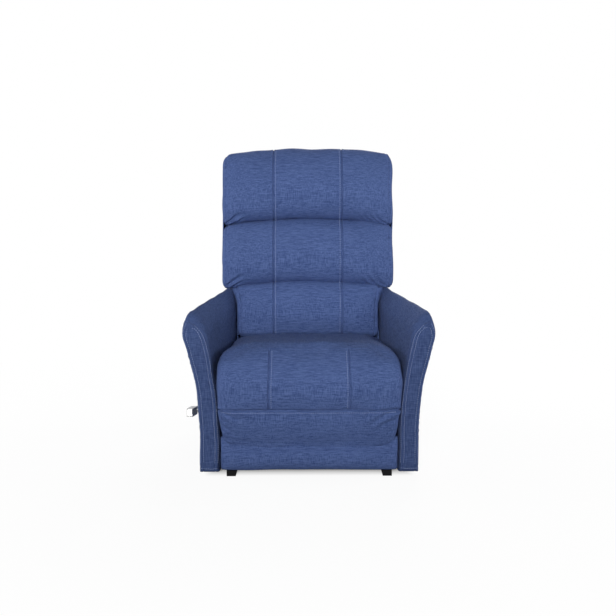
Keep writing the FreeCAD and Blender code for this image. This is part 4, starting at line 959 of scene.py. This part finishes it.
# Outer back: one cloth cover drawn over the bowed rear of the back, closed round its top edge
# and hemmed at the bottom, where the back passes between the arms.
BACK_DEPTH, BACK_EDGE = 135.0, 83.7
CROWN_DEPTH, CROWN_EDGE = 40, 39
CROWN_FROM, CROWN_HEIGHT = 706, 54
BACK_HALF = 338


def back_outline(half, lip=2, fall=1.0):
    """Plan of the back from its front edge on one side round the rear to the other side."""
    depth = CROWN_DEPTH + (BACK_DEPTH - CROWN_DEPTH) * fall ** 0.8
    edge = CROWN_EDGE + (BACK_EDGE - CROWN_EDGE) * fall ** 0.8
    points = [(-half, lip), (-half, edge - 12), (-half + 4, edge - 2), (-half + 14, edge + 3)]
    for t in np.linspace(-0.8, 0.8, 9):
        points.append((t * half, edge + (depth - edge) * (1 - t * t) ** 0.75))
    points += [(half - 14, edge + 3), (half - 4, edge - 2), (half, edge - 12), (half, lip)]
    return smooth_line(points, 120)


cover_rows = [(s, 279, 8) for s in np.linspace(-8, 205, 33)]
cover_rows += [(213, 280, 10), (216.5, 287, 20), (217, 310), (217.5, 326), (221, 334), (230, 337)]
cover_rows += [(s, BACK_HALF) for s in np.linspace(240, CROWN_FROM, 76)]
for turn in np.linspace(0, math.pi / 2, 16)[1:]:
    fall = math.cos(turn)
    cover_rows.append((CROWN_FROM + CROWN_HEIGHT * math.sin(turn), BACK_HALF - 22 * (1 - fall), 2, fall))
cover = []
for s, *plan in cover_rows:
    line = back_outline(*plan)
    cover.append(np.column_stack([line, np.full(len(line), s)]))
cover = np.array(cover)
cover_x, cover_n, cover_s = cover[..., 0], cover[..., 1], cover[..., 2].copy()
near_top = np.clip((cover_s - 560) / 200, 0, 1) ** 2
turn = np.clip((np.abs(cover_x) - 300) / 36, 0, 1)
arch = 24 * np.abs(cover_x / 336) ** 2.2 * np.where(cover_x < 0, 1.0, 0.75)
cover[..., 2] -= (arch + 34 * (1 - np.sqrt(1 - turn ** 2)) - 3) * near_top
placed = on_back(cover)
rng = np.random.default_rng(5)
rise = uneven(cover_x, cover_s, 5, 190, 1.6) + sewn_line(cover_s - 26, 1.0, 2.5)
for _ in range(18):
    at = rng.uniform(-290, 290)
    stop = (at + rng.uniform(-12, 12), rng.uniform(690, 715))
    rise += wrinkle(cover_x, cover_s, at, 745, *stop, 6, rng.uniform(0.3, 0.9)) * (cover_n > 60)
placed = placed + grid_normals(placed, ring=False) * (rise * MM)[:, :, None]
outer_back = mesh_object("outer_back_cloth", placed.reshape(-1, 3), grid_faces(numbered(*placed.shape[:2])),
                         blue_cloth)
thickness = outer_back.modifiers.new("cloth_and_board", "SOLIDIFY")
thickness.thickness = 0.004
thickness.offset = -1
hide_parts("back_cover")
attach(outer_back, "back")

# Lower rear panel: a board padded thinly and covered in cloth, fixed between the two arms.
# Its edges are turned over the board and stapled behind.
PANEL_HALF = 285.0
PANEL_FRONT_LINE = [(686, 238), (697, 241), (701, 232), (702, 200), (702, 120), (702, 60), (700, 36),
                    (696, 29), (686, 31)]
PANEL_EDGE_LINE = [(688, 237), (694, 232), (695, 200), (695, 120), (695, 60), (693, 38), (688, 33)]
PANEL_REAR_LINE = [(685, 236), (684.5, 200), (684.5, 120), (684.5, 60), (685, 34)]
PANEL_LINES = (PANEL_FRONT_LINE, PANEL_EDGE_LINE, PANEL_REAR_LINE)
rear_panel = covered_board("rear_panel_cloth", PANEL_HALF, PANEL_LINES, count=40, spread=(0.03, 6.0),
                           power=12.0, waves=(13, 150, 0.9), hem=10, cap=0.002, pressure=1, pitch=6.0)
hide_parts("rear_lower_panel")
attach(rear_panel, "chassis")

# Rear skirt: a loose strip of cloth from the lower rear panel up to the back, hung with a soft fold as a real
# skirt is, so that it can follow the back when it reclines. This piece is not tied to the back and does not
# move with it.
SKIRT_HALF = 281.0
SKIRT_ROWS, SKIRT_COLUMNS = 34, 130
SKIRT_Y, SKIRT_BOTTOM = 688, 238
skirt_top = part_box("rear_skirt")[1].z * 1000 - 1
skirt_x = np.linspace(-SKIRT_HALF, SKIRT_HALF, SKIRT_COLUMNS)[None, :]
skirt_t = np.linspace(0, 1, SKIRT_ROWS)[:, None]
bow = np.sin(math.pi * skirt_t)
fold = 5.0 * bow * (1 + 0.35 * np.sin(skirt_x / 31 + 0.6)) + 2.2 * bow * np.sin(skirt_x / 13.0 + 2)
skirt = np.stack([skirt_x + 0 * skirt_t, SKIRT_Y + fold - 3 * skirt_t,
                  SKIRT_BOTTOM + (skirt_top - SKIRT_BOTTOM) * skirt_t + 0 * skirt_x], axis=-1)
placed = from_arm_front(skirt)
rear_skirt = mesh_object("rear_skirt_cloth", placed.reshape(-1, 3),
                         grid_faces(numbered(SKIRT_ROWS, SKIRT_COLUMNS)), blue_cloth)
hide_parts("rear_skirt")
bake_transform(rear_skirt)

# Lifting base, side plates, links and torque tubes: cut and bent steel plate and tube in black
# powder paint, slightly pebbled, with patches where it is rubbed thinner.
grain, grain_in, grain_out = node_group(
    "fine_grain", [("Size", "Float", 900.0)], [("Height", "Float"), ("Patches", "Float")])
grain_where = grain.nodes.new("ShaderNodeTexCoord").outputs["Object"]
cells = grain.nodes.new("ShaderNodeTexNoise")
cells.inputs["Detail"].default_value = 2.0
grain.links.new(grain_where, cells.inputs["Vector"])
grain.links.new(grain_in.outputs["Size"], cells.inputs["Scale"])
grain.links.new(cells.outputs["Fac"], grain_out.inputs["Height"])
grain.links.new(spotted(grain, grain_where, 26, 4.0), grain_out.inputs["Patches"])


def grained_material(name, light, dark, metallic, smooth, rough, size, depth, strength=0.4):
    """Hard finish with a fine grain and slow patches in its colour and its gloss."""
    made, tree, shader = new_material(name)
    speckle = tree.nodes.new("ShaderNodeGroup")
    speckle.node_tree = grain
    speckle.inputs["Size"].default_value = size
    patches = times(tree, maths(tree, "SUBTRACT", speckle.outputs["Patches"], 0.35), 3.0)
    worn = tree.nodes.new("ShaderNodeClamp")
    tree.links.new(patches, worn.inputs["Value"])
    tree.links.new(two_tones(tree, worn.outputs[0], dark, light), shader.inputs["Base Color"])
    tree.links.new(maths(tree, "ADD", smooth, times(tree, worn.outputs[0], rough - smooth)),
                   shader.inputs["Roughness"])
    shader.inputs["Metallic"].default_value = metallic
    bumped(tree, shader, speckle.outputs["Height"], depth, strength)
    return made


def finish_nodes(slot, material):
    """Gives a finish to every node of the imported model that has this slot."""
    for part in frame["record"]["subparts"]:
        if part["material_slot"] == slot:
            mesh = frame["nodes"][part["node"]].data
            mesh.materials.clear()
            mesh.materials.append(material)


black_paint = grained_material("black_powder_paint", (0.030, 0.030, 0.032), (0.018, 0.018, 0.020),
                               0.0, 0.42, 0.56, 1400, 0.0003)
finish_nodes("dark_steel", black_paint)

# Pins, rods, guide tube and hinge hardware: steel plated with zinc, a little cloudy. The plating
# is thin and keeps the fine lines of the drawn steel. The springs are of darker, oiled wire.
zinc = grained_material("zinc_plated_steel", (0.56, 0.56, 0.55), (0.40, 0.41, 0.42),
                        1.0, 0.28, 0.42, 1100, 0.0001)
finish_nodes("zinc_steel", zinc)
spring_wire = grained_material("oiled_spring_wire", (0.16, 0.15, 0.14), (0.08, 0.08, 0.085),
                               1.0, 0.34, 0.50, 900, 0.0001)
finish_nodes("spring_wire", spring_wire)

# Feet, switch, buttons, bush and gear case: black plastic, moulded in steel moulds that give it
# a fine leather-like grain. It is dull, so it mirrors very little.
black_moulding = grained_material("black_moulded_plastic", (0.008, 0.008, 0.009), (0.004, 0.004, 0.005),
                                  0.0, 0.55, 0.68, 750, 0.0003)
black_moulding.node_tree.nodes["Principled BSDF"].inputs["Specular IOR Level"].default_value = 0.08
finish_nodes("black_plastic", black_moulding)

# Arrows on the two buttons of the hand switch: thin raised triangles, moulded in pale plastic,
# one pointing up and one pointing down.
ARROW_REACH = 0.0058
pale_print = grained_material("pale_moulded_mark", (0.62, 0.63, 0.64), (0.55, 0.56, 0.57),
                              0.0, 0.5, 0.6, 900, 0.0001)
for label, way in (("up", 1), ("down", -1)):
    low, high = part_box("button_" + label)
    middle = (low + high) / 2
    points = []
    for out, shrink in ((-0.0008, 1.0), (0.0004, 1.0), (0.0007, 0.86)):
        for turn in (90, 210, 330):
            for off in (-14, 0, 14):
                angle = math.radians(turn + off)
                reach = ARROW_REACH * shrink * (1.0 if off == 0 else 0.90)
                points.append((high.x + out, middle.y + reach * math.cos(angle),
                               middle.z + way * reach * math.sin(angle)))
    numbers = numbered(3, 9)
    faces = round_faces(numbers) + [numbers[0, ::-1].tolist(), numbers[-1].tolist()]
    arrow = mesh_object("arrow_" + label, points, faces, pale_print)
    arrow.data.shade_flat()
    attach(arrow, "button_" + label)

# Hand lever: a flat die-cast bar with a satin coat and a bright moulded end cap, clamped on the
# shaft that passes through the arm.
satin_cast = grained_material("satin_cast_metal", (0.44, 0.45, 0.47), (0.35, 0.36, 0.38),
                              0.7, 0.36, 0.48, 1600, 0.0001)
finish_nodes("lever_metal", satin_cast)
bright_satin = grained_material("bright_satin_metal", (0.72, 0.72, 0.70), (0.62, 0.62, 0.61),
                                0.5, 0.24, 0.36, 1800, 0.00005)
finish_nodes("bright_metal", bright_satin)

# Seat boards, cross rails, arm frames, back frame and legrest board: birch plywood and sawn
# pine, unfinished, with long grain and a darker ply line here and there.
made, tree, shader = new_material("raw_plywood")
wood_where = tree.nodes.new("ShaderNodeTexCoord").outputs["Object"]
long_grain = spotted(tree, wood_where, 60, 5.0, (0.12, 1.0, 1.0))
pores = spotted(tree, wood_where, 520, 2.0, (0.06, 1.0, 1.0))
tone = maths(tree, "ADD", times(tree, long_grain, 0.8), times(tree, pores, 0.35))
tree.links.new(two_tones(tree, tone, (0.30, 0.19, 0.10), (0.62, 0.45, 0.28)), shader.inputs["Base Color"])
tree.links.new(maths(tree, "ADD", 0.5, times(tree, pores, 0.3)), shader.inputs["Roughness"])
bumped(tree, shader, pores, 0.0005)
finish_nodes("wood", made)

# Webbing of the back: elastic woven straps, off-white with darker lengthwise threads.
# The straps cross over and under each other and are stapled to the frame.
finish_nodes("webbing", cloth_material("elastic_webbing", (0.62, 0.60, 0.54), (0.34, 0.32, 0.28), 0.7, 0.05))
